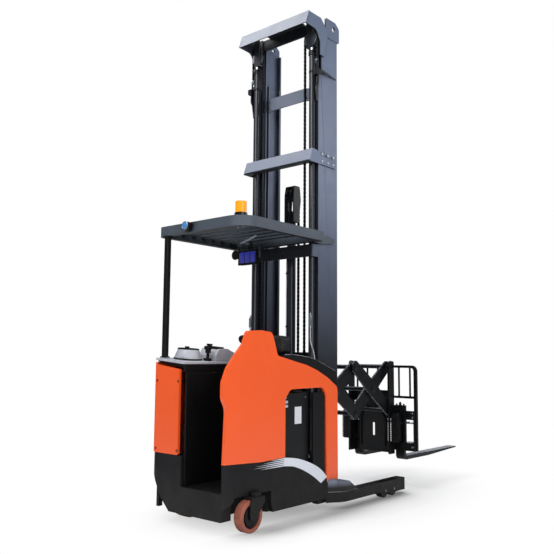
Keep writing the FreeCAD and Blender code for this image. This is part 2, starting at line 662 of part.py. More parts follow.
def mast_cap():
    """Leaning box cap that the lift rods push, with the chain sheaves hung below it."""
    rear, half, low, high = D["cap_rear"], D["cap_half"], D["cap_low"], D["cap_high"]
    top = D["inter_top"]
    lean = [(rear - 45, low), (rear, high), (rear + 12, high), (rear - 33, low)]
    face = slab("cap_face", "XZ", lean, "2*" + t("cap_half"), midplane=True)
    side = [(rear - 45, low), (1120, low - 6, 60), (1178, 4250, 40), (1178, 4125), (1240, 4125), (1300, 4385),
            (1190, high), (rear, high)]
    cheeks = pair("cap_cheeks", slab("cap_cheek", "XZ", side, "12", t("cap_half") + "-18"))
    roof = [(rear, -half + 6), (rear, half - 6), (1105, half - 6), (1105, 220), (1195, 220), (1195, -220),
            (1105, -220), (1105, -half + 6)]
    plate = slab("cap_plate", "XY", roof, "12", "%s-12" % t("cap_high"))
    beam = slab("cap_beam", "YZ", rectangle(-395, low + 4, 395, high - 20), "20", "1178")
    arm = [(1178, -407), (1178, -352), (1440, -352), (1440, -372), (1200, -372), (1200, -407)]
    arms = pair("cap_arms", slab("cap_arm", "XY", arm, "70", "%g" % top))
    y, z = D["sheave_y"], D["sheave_z"]
    hanger = [(y - 34, z - 92), (y + 34, z - 92), (y + 34, high - 12), (y - 34, high - 12)]
    rear_plates = slab("hanger_rear", "YZ", [(-u, v) for u, v in hanger], "8", "1120")
    front_plates = slab("hanger_front", "YZ", [(-u, v) for u, v in hanger], "8", "1170")
    seat = box("rod_seat", "58", "68", "14", "1120", "-%s-34" % t("sheave_y"), "%g" % (z - 92))
    bolt = cylinder("sheave_bolt", "18", "58", "1120", "-" + t("sheave_y"), t("sheave_z"), "X")
    hangers = pair("cap_hangers", fuse("cap_hanger", rear_plates, front_plates, seat, bolt))
    node("inter_cap", fuse("inter_cap", face, cheeks, plate, beam, arms, hangers))
    ear = [(1305, 4352), (1305, 4545, 14), (1455, 4545, 30), (1516, 4500, 30), (1516, 4352, 20)]
    eye = slab("lifting_eye", "XZ", ear, "18", "372.3", holes=[ring(1425, 4468, 24)])
    node("lifting_eyes", pair("lifting_eyes", eye))
    groove = [(18.2, -13), (72, -13), (72, -9), (62, -8), (62, 8), (72, 9), (72, 13), (18.2, 13)]
    owner = body("chain_sheave")
    profile = sketch(owner, "sheave_section", "XY", [groove])
    turn = owner.newObject("PartDesign::Revolution", "sheave_turn")
    turn.Profile = profile
    turn.ReferenceAxis = (profile, ["V_Axis"])
    turn.Angle = 360
    owner.Placement.Rotation = FreeCAD.Rotation(V(0, 0, 1), 90)
    bind(owner, base_x="1149", base_y="-" + t("sheave_y"), base_z=t("sheave_z"))
    node("chain_sheaves", pair("chain_sheaves", owner))


def lift_rods():
    long = "%s-92-200" % t("sheave_z")
    rod = cylinder("lift_rod", t("lift_bore"), long, t("lift_x"), "-" + t("lift_y"), "200")
    return node("lift_rods", pair("lift_rods", rod))


def inner_mast():
    """Inner channels with a bent upper tie, a straight lower tie and the free lift cylinder."""
    rail = channel("inner_rail", 1233, 1409, 312, 300, 262, 18, t("rail_foot") + "+20", t("inner_top"))
    node("inner_rails", pair("inner_rails", rail))
    bent = [(1234, -262), (1207, -205), (1207, 205), (1234, 262), (1250, 262), (1223, 205), (1223, -205),
            (1250, -262)]
    tie = [(1213, -268), (1213, 268), (1233, 268), (1233, -268)]
    upper = slab("inner_upper_tie", "XY", bent, "122", "3735")
    lower = slab("inner_lower_tie", "XY", tie, "150", "90")
    barrel = cylinder("free_barrel", "42", "2390", "1279", "0", "90")
    bore = cylinder("free_barrel_bore", "30.3", "2390", "1279", "0", "130")
    free = cut("free_lift_cylinder", barrel, bore)
    node("inner_ties", group("inner_ties", upper, lower))
    node("free_lift_cylinder", free)


def free_lift_head():
    """Rod and yoke of the free lift, with two chain sheaves between its cheeks."""
    rod = cylinder("free_rod", "30", "2380", "1279", "0", "250")
    base = box("yoke_base", "90", "116", "100", "1240", "-58", "2600")
    side = [(1240, 2690), (1330, 2690), (1348, 2820, 60), (1330, 2950, 30), (1256, 2950, 30),
            (1240, 2860, 60)]
    cheeks = pair("yoke_cheeks", slab("yoke_cheek", "XZ", side, "12", "46"))
    lid = box("yoke_lid", "70", "116", "12", "1258", "-58", "2938")
    bolt = cylinder("yoke_bolt", "16", "116", "1294", "-58", "2868", "Y")
    sheave = pair("yoke_sheaves", cylinder("yoke_sheave", "60", "30", "1294", "-40", "2868", "Y"))
    return node("free_lift_head", fuse("free_lift_head", rod, base, cheeks, lid, bolt, sheave))


# ------------------------------------------------------------------ pantograph
RISE = D["pivot_top"] - D["pivot_low"]
LINK = math.hypot(D["stage"], RISE)
SLOPE = math.degrees(math.atan2(RISE, D["stage"]))


def carriage_plate():
    """Side plate of the mast carriage: link pivot at the top, roller slot below."""
    x = D["pivot_x"]
    side = [(1262, 320), (x + 40, 320), (x + 62, 380), (x + 62, 1270, 60), (x + 10, 1375, 30), (1262, 1375)]
    slot = rectangle(x - 22.5, 450, x + 22.5, 805, 22)
    holes = [slot, ring(x, D["pivot_top"], 22.1)]
    return slab("carriage_plate", "XZ", side, "14", t("frame_in"), holes=holes)


def link(name, start_x, start_z, direction, inner, bores):
    """One pair of link plates; each bore is (distance along the link, radius)."""
    owner = body(name)
    half = D["link_wide"] / 2
    deep, round_end = D["link_deep"] / 2, D["link_wide"] / 2 * 0.98
    plate = [(-half, -half, round_end), (LINK / 2, -deep, 900), (LINK + half, -half, round_end),
             (LINK + half, half, round_end), (LINK / 2, deep, 900), (-half, half, round_end)]
    pad(owner, name + "_plate", "XZ", [plate] + [ring(along, 0, radius) for along, radius in bores],
        t("link_thick"), inner)
    lean = FreeCAD.Rotation(V(0, 1, 0), -direction * SLOPE)
    owner.Placement = FreeCAD.Placement(V(start_x, 0, start_z), lean)
    return owner


def pin(name, x, z, half):
    """A pin across the whole truck."""
    return cylinder(name, t("pin"), "2*(%s)" % half, str(x), "-(%s)" % half, str(z), "Y")


def stub(name, x, z, near, far, radius):
    """A pin on each side only, between two distances off the middle."""
    long = "%s-(%s)" % (far, near)
    return pair(name, cylinder(name + "_right", radius, long, str(x), "-(%s)" % far, str(z), "Y"))


def pantograph():
    x, top, low, stage = D["pivot_x"], D["pivot_top"], D["pivot_low"], D["stage"]
    middle = (top + low) / 2
    bore = D["pin"] + 0.1
    outer, inner = t("link_outer"), t("link_inner")
    outside = "%s+%s" % (outer, t("link_thick"))
    # rear outer pair: fixed to the carriage at its top, carries the centre and lower middle pins
    plates = pair("rear_outer_plates", link("rear_outer_link", x, top, -1, outer, []))
    lug = lug_point()
    pins = [pin("rear_top_pin", x, top, t("frame_in") + "+13"),
            pin("rear_centre_pin", x + stage / 2, middle, outside),
            pin("low_middle_pin", x + stage, low, outside),
            stub("reach_lug", lug.x, lug.z, "172", outer + "+5", "14")]
    node("rear_outer_links", fuse("rear_outer_links", plates, *pins))
    # rear inner pair: roller shaft in the carriage slots, upper middle pin at its front end
    plates = pair("rear_inner_plates", link("rear_inner_link", x, low, 1, inner, [(LINK / 2, bore)]))
    pins = [stub("rear_roller_pin", x, low, inner, t("frame_in") + "+13", t("pin")),
            pin("top_middle_pin", x + stage, top, outside)]
    node("rear_inner_links", fuse("rear_inner_links", plates, *pins))
    # front inner pair: hung on the lower middle pin, carries the front centre and top pins
    plates = pair("front_inner_plates", link("front_inner_link", x + stage, low, 1, inner, [(0, bore)]))
    pins = [pin("front_centre_pin", x + 1.5 * stage, middle, outside),
            pin("front_top_pin", x + 2 * stage, top, t("frame_in") + "+13")]
    node("front_inner_links", fuse("front_inner_links", plates, *pins))
    # front outer pair: hung on the front centre pin, its upper end on the upper middle pin
    plates = pair("front_outer_plates", link("front_outer_link", x + stage, top, -1, outer,
                                             [(0, bore + 1), (LINK / 2, bore)]))
    pins = [pin("front_roller_shaft", x + 2 * stage, low, t("frame_in") + "+13")]
    node("front_outer_links", fuse("front_outer_links", plates, *pins))


def carriages():
    plates = pair("carriage_plates", carriage_plate())
    span = "2*%s+2" % t("frame_in")
    edge = "-%s-1" % t("frame_in")
    upper = box("carriage_upper_bar", "24", span, "66", "1326", edge, "1304")
    lower = box("carriage_lower_bar", "24", span, "74", "1326", edge, "325")
    rollers = []
    for z in (400, 1290):
        roller = cylinder("mast_roller_%d" % z, "66", "26", "1321", "-%s-46" % t("frame_in"), str(z), "Y")
        axle = cylinder("mast_axle_%d" % z, "28", "40", "1321", "-%s-46" % t("frame_in"), str(z), "Y")
        rollers.append(pair("mast_rollers_%d" % z, fuse("roller_on_axle_%d" % z, roller, axle)))
    foot = FOOT
    lug = [(1328, 398), (1390, 398), (foot.x + 26, foot.z + 20, 24), (foot.x - 26, foot.z + 20, 24)]
    lugs = pair("cylinder_lugs", slab("cylinder_lug", "XZ", lug, "10", "104"))
    pins = stub("cylinder_pin", foot.x, foot.z, "108", "183", "12")
    node("mast_carriage", fuse("mast_carriage", plates, upper, lower, lugs, pins, *rollers))
    x = D["pivot_x"] + 2 * D["stage"]
    side = [(x - 45, 330), (x + 56, 330), (x + 56, 1285, 20), (x - 30, 1295, 30), (x - 45, 1240)]
    slot = rectangle(x - 22.5, 450, x + 22.5, 805, 22)
    plate = slab("frame_plate", "XZ", side, "16", t("frame_in"), holes=[slot, ring(x, D["pivot_top"], 22.1)])
    cross = box("frame_cross_top", "10", span, "120", str(x + 46), edge, "860")
    low = box("frame_cross_low", "10", span, "90", str(x + 46), edge, "335")
    wall = slab("frame_wall", "YZ", rectangle(-178, 340, 178, 970), "10", str(x + 46),
                holes=[rectangle(-20, 500, 8, 635, 8)])
    barrel = cylinder("shift_barrel", "17", "290", t("shift_x"), "-145", t("shift_z"), "Y")
    bore = cylinder("shift_bore", t("shift_rod") + "+0.3", "310", t("shift_x"), "-155", t("shift_z"), "Y")
    solid = fuse("frame_solid", pair("frame_plates", plate), cross, low, wall, barrel)
    node("front_frame", cut("front_frame", solid, bore))


FOOT = V(1365, 0, 620)               # foot pin of the reach cylinders


def lug_point():
    """Where the reach rods meet the rear outer links, a quarter of the way down."""
    slope = math.radians(SLOPE)
    return V(D["pivot_x"] + LINK / 4 * math.cos(slope), 0, D["pivot_top"] - LINK / 4 * math.sin(slope))


def reach_cylinders():
    """Cylinders between the carriage's foot lugs and the rear outer links."""
    line = lug_point() - FOOT
    lean = math.degrees(math.atan2(line.x, line.z))
    barrel = cylinder("reach_barrel", "30", "330", "0", "-150", "-26")
    bore = cylinder("reach_barrel_bore", "16.1", "330", "0", "-150", "24")
    eye = cylinder("reach_barrel_eye", "12.1", "80", "0", "-190", "0", "Y")
    one = cut("reach_barrel_right", barrel, bore, eye)
    rod = cylinder("reach_rod", "16", "%.3f-134-18" % line.Length, "0", "-150", "134")
    head = cylinder("reach_rod_head", "26", "32", "0", "-166", "%.3f" % line.Length, "Y")
    hole = cylinder("reach_rod_hole", "14.5", "40", "0", "-170", "%.3f" % line.Length, "Y")
    end = cut("reach_rod_right", fuse("reach_rod_body", rod, head), hole)
    for name, piece in (("reach_barrels", one), ("reach_rods", end)):
        item = pair(name, piece)
        item.Placement = FreeCAD.Placement(FOOT, FreeCAD.Rotation(V(0, 1, 0), lean))
        node(name, item)


# ------------------------------------------------------------------ fork carriage
def fork_carriage():
    """Side-shift plate with upper and lower hook bars, the shift cylinder's rod and a valve block."""
    x, half, middle = str(D["fork_x"] - 30), t("rest_half"), t("shift_rest")
    long, edge = "2*%s-26" % half, "%s-%s+13" % (middle, half)
    top = box("hook_bar_top", "30", long, "90", x, edge, "685")
    low = box("hook_bar_low", "30", long, "80", x, edge, "368")
    webs = []
    for count, (y, wide) in enumerate(((-490, 12), (-385, 30), (190, 30), (298, 12))):
        webs.append(box("carriage_web_%d" % count, "26", str(wide), "250", x, str(y), "440"))
    rod = cylinder("shift_rod", t("shift_rod"), long + "-20", t("shift_x"), edge + "+10", t("shift_z"), "Y")
    valve = box("valve_block", "30", "130", "55", x, "-382", "775")
    node("fork_carriage", fuse("fork_carriage", top, low, rod, valve, *webs))


def load_backrest():
    """Round-cornered frame with vertical bars."""
    x = D["fork_x"]
    right, left = D["shift_rest"] - D["rest_half"], D["shift_rest"] + D["rest_half"]
    owner = body("load_backrest")
    frame = [(right, 368), (right, D["rest_top"], 60), (left, D["rest_top"], 60), (left, 368),
             (left - 34, 368), (left - 34, D["rest_top"] - 26, 34), (right + 34, D["rest_top"] - 26, 34),
             (right + 34, 368)]
    pad(owner, "backrest_frame", "YZ", [frame], "30", str(x))
    low = rectangle(right + 30, 901, left - 30, 925)
    pad(owner, "backrest_rail", "YZ", [low], "20", str(x + 5))
    for index in range(6):
        y = D["shift_rest"] + (index - 2.5) * 132
        bar = rectangle(y - 8, 920, y + 8, D["rest_top"] - 20)
        pad(owner, "backrest_bar_%d" % index, "YZ", [bar], "16", str(x + 7))
    return node("load_backrest", owner)


def fork(name, middle):
    """Forged fork: upright shank with hooks, curved heel and tapered blade."""
    x, low, thick = D["fork_x"], D["fork_base"], D["fork_thick"]
    tip = TIP_X
    profile = [(x, low, 50), (x + 520, low), (tip, low + 28), (tip, low + thick),
               (x + thick, low + thick, 20), (x + thick, 800, 10), (x, 800)]
    owner = slab(name, "XZ", profile, t("fork_wide"), "-(%s)-%s/2" % (t(middle), t("fork_wide")))
    return node(name, owner)


# ------------------------------------------------------------------ the whole truck
def build():
    chassis()
    compartment_liner()
    rear_panel()
    side_panel("right_side_panel", side_outline(), t("body_half") + "-" + t("panel"))
    side_panel("left_side_panel", left_outline(), "-" + t("body_half"))
    bay_covers()
    battery()
    battery_hood()
    console_top()
    console_rim()
    steering_tiller()
    control_handle()
    control_pod()
    back_pad()
    overhead_guard()
    guard_brackets()
    guard_post()
    beacon()
    guard_lights()
    outriggers()
    shoe_covers()
    load_axles()
    for side, word in ((-1, "right"), (1, "left")):
        load_wheel(word + "_load_wheel_rear", "load_rear_x", side)
        load_wheel(word + "_load_wheel_front", "load_front_x", side)
    drive_unit()
    wheel("drive_wheel", "drive_radius", "drive_wide", 25.1, t("drive_x"), t("drive_y"), t("drive_radius"),
          12)
    caster_fork()
    wheel("caster_wheel", "caster_radius", "caster_wide", 15.1, "%s-%s" % (t("caster_x"), t("caster_trail")),
          "-" + t("caster_y"), t("caster_radius"), 10)
    outer_mast()
    lift_cylinders()
    intermediate_mast()
    mast_cap()
    lift_rods()
    inner_mast()
    free_lift_head()
    pantograph()
    carriages()
    reach_cylinders()
    fork_carriage()
    load_backrest()
    fork("fork_right", "fork_right_y")
    fork("fork_left", "fork_left_y")
    doc.recompute()


def write():
    for item in doc.Objects:
        if "Invalid" in item.State or "Error" in item.State:
            raise RuntimeError("%s did not build: %s" % (item.Name, item.State))
    os.makedirs("parts", exist_ok=True)
    for name, item in NODES.items():
        shape = item.Shape
        if shape.isNull() or not shape.isValid() or not shape.Solids:
            raise RuntimeError("%s has no valid solid" % name)
        moved = shape.copy()
        moved.translate(V(-ORIGIN_X, 0, 0))
        moved.exportStep("parts/%s.step" % name)
        print("%-24s %2d solids %9.1f cm3" % (name, len(shape.Solids), shape.Volume / 1000))


build()
write()
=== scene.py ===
"""Looks of a stand-up double-deep reach truck, laid out as an add-on and run as a script.

Everything is in metres, in the truck's own frame: x forwards to the fork tips, y to the operator's left,
z up, origin on the floor under the middle of the truck.
"""
import json
import math

import bpy
from mathutils import Euler, Matrix, Vector

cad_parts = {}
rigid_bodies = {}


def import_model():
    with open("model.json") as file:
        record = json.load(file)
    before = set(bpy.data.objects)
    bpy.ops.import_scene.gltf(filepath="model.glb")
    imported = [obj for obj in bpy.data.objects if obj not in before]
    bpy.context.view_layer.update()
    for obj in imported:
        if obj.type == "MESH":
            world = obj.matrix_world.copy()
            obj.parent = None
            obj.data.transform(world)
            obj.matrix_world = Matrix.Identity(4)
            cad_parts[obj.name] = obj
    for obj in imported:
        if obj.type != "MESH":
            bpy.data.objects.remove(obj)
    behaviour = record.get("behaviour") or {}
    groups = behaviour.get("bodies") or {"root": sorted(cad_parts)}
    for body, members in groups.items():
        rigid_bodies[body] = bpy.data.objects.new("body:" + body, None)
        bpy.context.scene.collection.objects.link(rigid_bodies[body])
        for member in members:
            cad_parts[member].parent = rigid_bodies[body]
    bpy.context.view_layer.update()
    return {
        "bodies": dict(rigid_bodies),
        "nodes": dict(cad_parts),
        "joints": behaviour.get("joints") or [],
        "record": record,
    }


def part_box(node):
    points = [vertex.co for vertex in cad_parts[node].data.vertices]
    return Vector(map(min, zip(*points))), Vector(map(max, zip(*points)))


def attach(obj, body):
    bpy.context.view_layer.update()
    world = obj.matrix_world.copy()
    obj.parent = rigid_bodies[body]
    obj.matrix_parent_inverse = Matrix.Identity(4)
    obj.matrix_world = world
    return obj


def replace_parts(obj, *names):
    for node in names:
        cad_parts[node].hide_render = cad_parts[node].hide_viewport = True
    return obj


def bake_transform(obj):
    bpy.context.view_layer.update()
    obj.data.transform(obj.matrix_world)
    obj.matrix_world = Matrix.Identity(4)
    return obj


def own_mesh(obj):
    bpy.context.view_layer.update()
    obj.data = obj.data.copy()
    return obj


bl_info = {
    "name": "Reach Truck Looks",
    "version": (1, 0, 0),
    "blender": (4, 5, 0),
    "location": "View3D > Sidebar > Reach Truck",
    "description": "Finishes and small parts of a stand-up reach truck around its construction model",
    "category": "Object",
}

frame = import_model()
NODES = frame["nodes"]
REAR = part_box("chassis")[0].x                    # rear bumper of the truck
MM = 0.001


def at(x, y, z):
    """A point given in millimetres from the rear bumper, the middle plane and the floor."""
    return Vector((REAR + x * MM, y * MM, z * MM))


# ------------------------------------------------------------------ sizes and colours a user would change
class TruckColours(bpy.types.PropertyGroup):
    panel: bpy.props.StringProperty(
        name="Panel enamel", description="sRGB hex of the body panels", default="#FF5E1E")
    skirt: bpy.props.StringProperty(
        name="Skirt paint", description="sRGB hex of the steel skirt", default="#141417")
    # mast fading to mast_low lower down paints shade on the webs; mast_dark paints shade on the rails' other
    # faces and in recesses
    mast: bpy.props.StringProperty(
        name="Mast enamel", description="sRGB hex of the mast webs at the top", default="#707C95")
    mast_low: bpy.props.StringProperty(
        name="Mast enamel, low", description="sRGB hex of the mast webs low down", default="#23252C")
    mast_dark: bpy.props.StringProperty(
        name="Mast painted shade", description="sRGB hex of the rail faces in painted shade", default="#1C1E23")
    # tie is also the painted highlight on the cap's faces that lean up
    tie: bpy.props.StringProperty(
        name="Tie enamel and cap highlight", description="sRGB hex of the inner tie", default="#6E7584")
    guard: bpy.props.StringProperty(
        name="Guard enamel", description="sRGB hex of the overhead guard", default="#4C545E")
    # cap is the painted highlight on the mast's faces that lean upwards
    cap: bpy.props.StringProperty(
        name="Mast painted highlight", description="sRGB hex of faces that lean upwards", default="#788092")
    linkage: bpy.props.StringProperty(
        name="Linkage enamel", description="sRGB hex of the pantograph and carriage", default="#0C0D0F")
    tread: bpy.props.StringProperty(
        name="Wheel tread", description="sRGB hex of the cast polyurethane", default="#A66250")
    lens: bpy.props.StringProperty(
        name="Beacon lens", description="sRGB hex of the beacon", default="#FF9C10")


class TruckView(bpy.types.PropertyGroup):
    focal: bpy.props.FloatProperty(
        name="Focal length", description="Lens on a 36 mm wide sensor, in millimetres", default=45.03)
    back: bpy.props.FloatProperty(
        name="Behind", description="Camera's distance behind the rear bumper", default=3.750, unit="LENGTH")
    right: bpy.props.FloatProperty(
        name="To the right", description="Camera's distance right of the middle",
        default=4.155, unit="LENGTH")
    height: bpy.props.FloatProperty(
        name="Height", description="Camera's height", default=1.330, unit="LENGTH")
    turn: bpy.props.FloatProperty(
        name="Turn", description="Heading from straight ahead, to the left",
        default=math.radians(40.75), subtype="ANGLE")
    tilt: bpy.props.FloatProperty(
        name="Tilt", description="Upward tilt", default=math.radians(6.53), subtype="ANGLE")
    roll: bpy.props.FloatProperty(
        name="Roll", description="Roll about the line of sight", default=math.radians(0.46), subtype="ANGLE")


# ------------------------------------------------------------------ materials
# scales of the noise, in cells a metre
CLOUD = 2.3                                      # clouding of sprayed enamel, 435 mm across
DUST = 38.0                                      # specks of dust, 26 mm
SMEAR = 9.0                                      # wiped patches in the gloss, 110 mm
FLOW = 6.0                                       # flow marks of a moulded part, 167 mm
SCRATCH = 900                                    # drawn lines, 1.1 mm: as coarse as they need to show
SCUFF = 42.0                                     # rolled marks on a tread, 24 mm
SHEEN = 7.0                                      # patches of painted sheen on the leg covers, 143 mm
LENS_RIB = 28.0                                  # wave scale that gives the beacon's lens a rib every 11 mm

LENS_GLOW = 0.25
LENS_FOOT = (2.4590, 2.4594)                     # height at which the beacon's black base turns into its lens


def linear(hexcode):
    """sRGB hex to linear RGBA."""
    values = [int(hexcode[i:i + 2], 16) / 255 for i in (1, 3, 5)]
    return [v / 12.92 if v <= 0.04045 else ((v + 0.055) / 1.055) ** 2.4 for v in values] + [1.0]


def add(tree, kind, inputs=None, stops=(), **settings):
    """A node with its settings; an input is a value, or an output socket to link from.

    The two stops of a colour ramp are (position, colour).
    """
    item = tree.nodes.new("ShaderNode" + kind)
    for name, value in settings.items():
        setattr(item, name, value)
    for name, value in (inputs or {}).items():
        socket = item.inputs[name]
        if isinstance(value, bpy.types.NodeSocket):
            tree.links.new(value, socket)
        else:
            socket.default_value = value
    for index, (position, colour) in enumerate(stops):
        item.color_ramp.elements[index].position = position
        item.color_ramp.elements[index].color = colour
    return item


def blank(name, **shader):
    """A material with one Principled shader, and its tree."""
    mat = bpy.data.materials.new(name)
    mat.use_nodes = True
    tree = mat.node_tree
    tree.nodes.clear()
    bsdf = add(tree, "BsdfPrincipled", shader)
    add(tree, "OutputMaterial", {"Surface": bsdf.outputs[0]})
    return mat, tree, bsdf


def grey(value):
    return (value, value, value, 1)


def shade(hexcode, factor):
    """A colour made lighter or darker."""
    return [min(1, c * factor) for c in linear(hexcode)[:3]] + [1.0]


def painted(name, hexcode, rough, spread, grit_mm, bump, coat=0.0, dusty=0.0):
    """Sprayed enamel: even colour with slight clouding, fine orange peel, dust gathering low down."""
    mat, tree, bsdf = blank(name)
    spot = add(tree, "TexCoord").outputs["Object"]
    cloud = add(tree, "TexNoise", {"Vector": spot, "Scale": CLOUD, "Detail": 5.0, "Roughness": 0.6})
    tone = add(tree, "ValToRGB", {"Fac": cloud.outputs["Fac"]},
               [(0.3, shade(hexcode, 1 - spread)), (0.7, shade(hexcode, 1 + spread))]).outputs["Color"]
    if dusty:
        height = add(tree, "SeparateXYZ", {"Vector": spot}).outputs["Z"]
        low = add(tree, "MapRange", {"Value": height, "From Min": 0.45, "From Max": 0.02, "To Min": 0.0,
                                     "To Max": dusty}).outputs[0]
        fine = add(tree, "TexNoise", {"Vector": spot, "Scale": DUST, "Detail": 8.0, "Roughness": 0.7})
        amount = add(tree, "Math", {0: low, 1: fine.outputs["Fac"]}, operation="MULTIPLY").outputs[0]
        tone = add(tree, "Mix", {"Factor": amount, "A": tone, "B": linear("#8C8578")},
                   data_type="RGBA").outputs["Result"]
    tree.links.new(tone, bsdf.inputs["Base Color"])
    grain = add(tree, "TexNoise", {"Vector": spot, "Scale": 1000 / grit_mm, "Detail": 2.0})
    smear = add(tree, "TexNoise", {"Vector": spot, "Scale": SMEAR, "Detail": 6.0})
    gloss = add(tree, "MapRange", {"Value": smear.outputs["Fac"], "From Min": 0.3, "From Max": 0.7,
                                   "To Min": rough * 0.85, "To Max": rough * 1.18})
    tree.links.new(gloss.outputs[0], bsdf.inputs["Roughness"])
    peel = add(tree, "Bump", {"Height": grain.outputs["Fac"], "Strength": bump, "Distance": 0.0006})
    tree.links.new(peel.outputs["Normal"], bsdf.inputs["Normal"])
    bsdf.inputs["Coat Weight"].default_value = coat
    bsdf.inputs["Coat Roughness"].default_value = 0.12
    return mat


def moulded(name, hexcode, rough, grit_mm=1.2, bump=0.25):
    """Injection-moulded plastic with a fine leather-like grain."""
    mat, tree, bsdf = blank(name, Roughness=rough)
    spot = add(tree, "TexCoord").outputs["Object"]
    cells = add(tree, "TexVoronoi", {"Vector": spot, "Scale": 1000 / grit_mm})
    cloud = add(tree, "TexNoise", {"Vector": spot, "Scale": FLOW, "Detail": 4.0})
    tone = add(tree, "ValToRGB", {"Fac": cloud.outputs["Fac"]},
               [(0.35, shade(hexcode, 0.9)), (0.65, shade(hexcode, 1.1))]).outputs["Color"]
    tree.links.new(tone, bsdf.inputs["Base Color"])
    relief = add(tree, "Bump", {"Height": cells.outputs["Distance"], "Strength": bump, "Distance": 0.0005})
    tree.links.new(relief.outputs["Normal"], bsdf.inputs["Normal"])
    return mat


def metal(name, hexcode, rough, stretch=(1, 1, 60), bump=0.15):
    """Ground or drawn steel with fine scratches, drawn out along each axis by stretch."""
    mat, tree, bsdf = blank(name, Metallic=1.0)
    spot = add(tree, "TexCoord").outputs["Object"]
    drawn = add(tree, "Mapping", {"Vector": spot, "Scale": [SCRATCH / s for s in stretch]})
    lines = add(tree, "TexNoise", {"Vector": drawn.outputs[0], "Scale": 1.0, "Detail": 3.0})
    tone = add(tree, "ValToRGB", {"Fac": lines.outputs["Fac"]},
               [(0.3, shade(hexcode, 0.82)), (0.7, shade(hexcode, 1.1))]).outputs["Color"]
    tree.links.new(tone, bsdf.inputs["Base Color"])
    gloss = add(tree, "MapRange", {"Value": lines.outputs["Fac"], "To Min": rough * 0.7,
                                   "To Max": rough * 1.3})
    tree.links.new(gloss.outputs[0], bsdf.inputs["Roughness"])
    relief = add(tree, "Bump", {"Height": lines.outputs["Fac"], "Strength": bump, "Distance": 0.0002})
    tree.links.new(relief.outputs["Normal"], bsdf.inputs["Normal"])
    return mat


def height_of(tree):
    """Height above the floor, in metres."""
    return add(tree, "SeparateXYZ", {"Vector": add(tree, "TexCoord").outputs["Object"]}).outputs["Z"]


def facing(tree, axis, low, high):
    """How much a face points along an axis: 0 at low, 1 at high."""
    parts = add(tree, "SeparateXYZ", {"Vector": add(tree, "TexCoord").outputs["Normal"]})
    return add(tree, "MapRange", {"Value": parts.outputs[axis], "From Min": low, "From Max": high}).outputs[0]


def shader_of(mat):
    return next(node for node in mat.node_tree.nodes if node.bl_idname == "ShaderNodeBsdfPrincipled")


def quiet(mat, level):
    """Dull the mirror-like part of a dark finish, which a fine texture or oil film spreads away."""
    shader_of(mat).inputs["Specular IOR Level"].default_value = level
    return mat


def retint(mat, make_colour):
    """Feed the base colour through a function of (tree, old colour socket) that returns the new socket."""
    tree = mat.node_tree
    base = shader_of(mat).inputs["Base Color"]
    tree.links.new(make_colour(tree, base.links[0].from_socket), base)


def painted_recess_shade(mat, hexcode, reach, low, high):
    """Painted shade where little light reaches: full where the open sky is below low, none above high."""

    def make(tree, old):
        open_sky = add(tree, "AmbientOcclusion", {"Distance": reach}, samples=6).outputs["AO"]
        unshaded = add(tree, "MapRange", {"Value": open_sky, "From Min": low, "From Max": high}).outputs[0]
        return add(tree, "Mix", {"Factor": unshaded, "A": linear(hexcode), "B": old},
                   data_type="RGBA").outputs["Result"]

    retint(mat, make)
    return mat


def mast_enamel_with_painted_light(name, high, low, pale, dark):
    """Rail paint with painted light: slate on the webs and painted shade darkening them low down, a painted
    highlight where a face leans up to the light, painted shade on the other faces and in recesses.
    """
    mat = quiet(painted(name, high, 0.42, 0.05, 1.8, 0.08), 0.35)

    def make(tree, old):
        # painted shade: the webs darken from high at the top to low at the bottom
        risen = add(tree, "MapRange", {"Value": height_of(tree), "From Min": 1.3, "From Max": 3.0}).outputs[0]
        slate = add(tree, "Mix", {"Factor": risen, "A": linear(low), "B": old},
                    data_type="RGBA").outputs["Result"]
        # painted shade: every face that doesn't point sideways takes the dark colour
        web = add(tree, "Math", {0: facing(tree, "Y", 0.6, 0.8), 1: facing(tree, "Y", -0.6, -0.8)},
                  operation="MAXIMUM").outputs[0]
        body = add(tree, "Mix", {"Factor": web, "A": linear(dark), "B": slate},
                   data_type="RGBA").outputs["Result"]
        # painted highlight: faces that lean up take the pale colour
        return add(tree, "Mix", {"Factor": facing(tree, "Z", 0.2, 0.3), "A": body, "B": linear(pale)},
                   data_type="RGBA").outputs["Result"]

    retint(mat, make)
    # painted shade in recesses
    return painted_recess_shade(mat, dark, 0.30, 0.35, 0.85)


def pale_level_streaks(mat, hexcode, low, high, patch_mm, cover):
    """A pale colour on faces that point up or down, broken up by streaks."""

    def make(tree, old):
        normal = add(tree, "SeparateXYZ", {"Vector": add(tree, "TexCoord").outputs["Normal"]}).outputs["Z"]
        size = add(tree, "Math", {0: normal}, operation="ABSOLUTE").outputs[0]
        level = add(tree, "MapRange", {"Value": size, "From Min": low, "From Max": high}).outputs[0]
        spot = add(tree, "TexCoord").outputs["Object"]
        streak = add(tree, "TexNoise", {"Vector": spot, "Scale": 1000 / patch_mm, "Detail": 7.0,
                                        "Roughness": 0.65})
        broken = add(tree, "MapRange", {"Value": streak.outputs["Fac"], "From Min": 0.62 - 0.3 * cover,
                                        "From Max": 0.72 - 0.3 * cover}).outputs[0]
        amount = add(tree, "Math", {0: level, 1: broken}, operation="MULTIPLY").outputs[0]
        return add(tree, "Mix", {"Factor": amount, "A": old, "B": linear(hexcode)},
                   data_type="RGBA").outputs["Result"]

    retint(mat, make)
    return mat


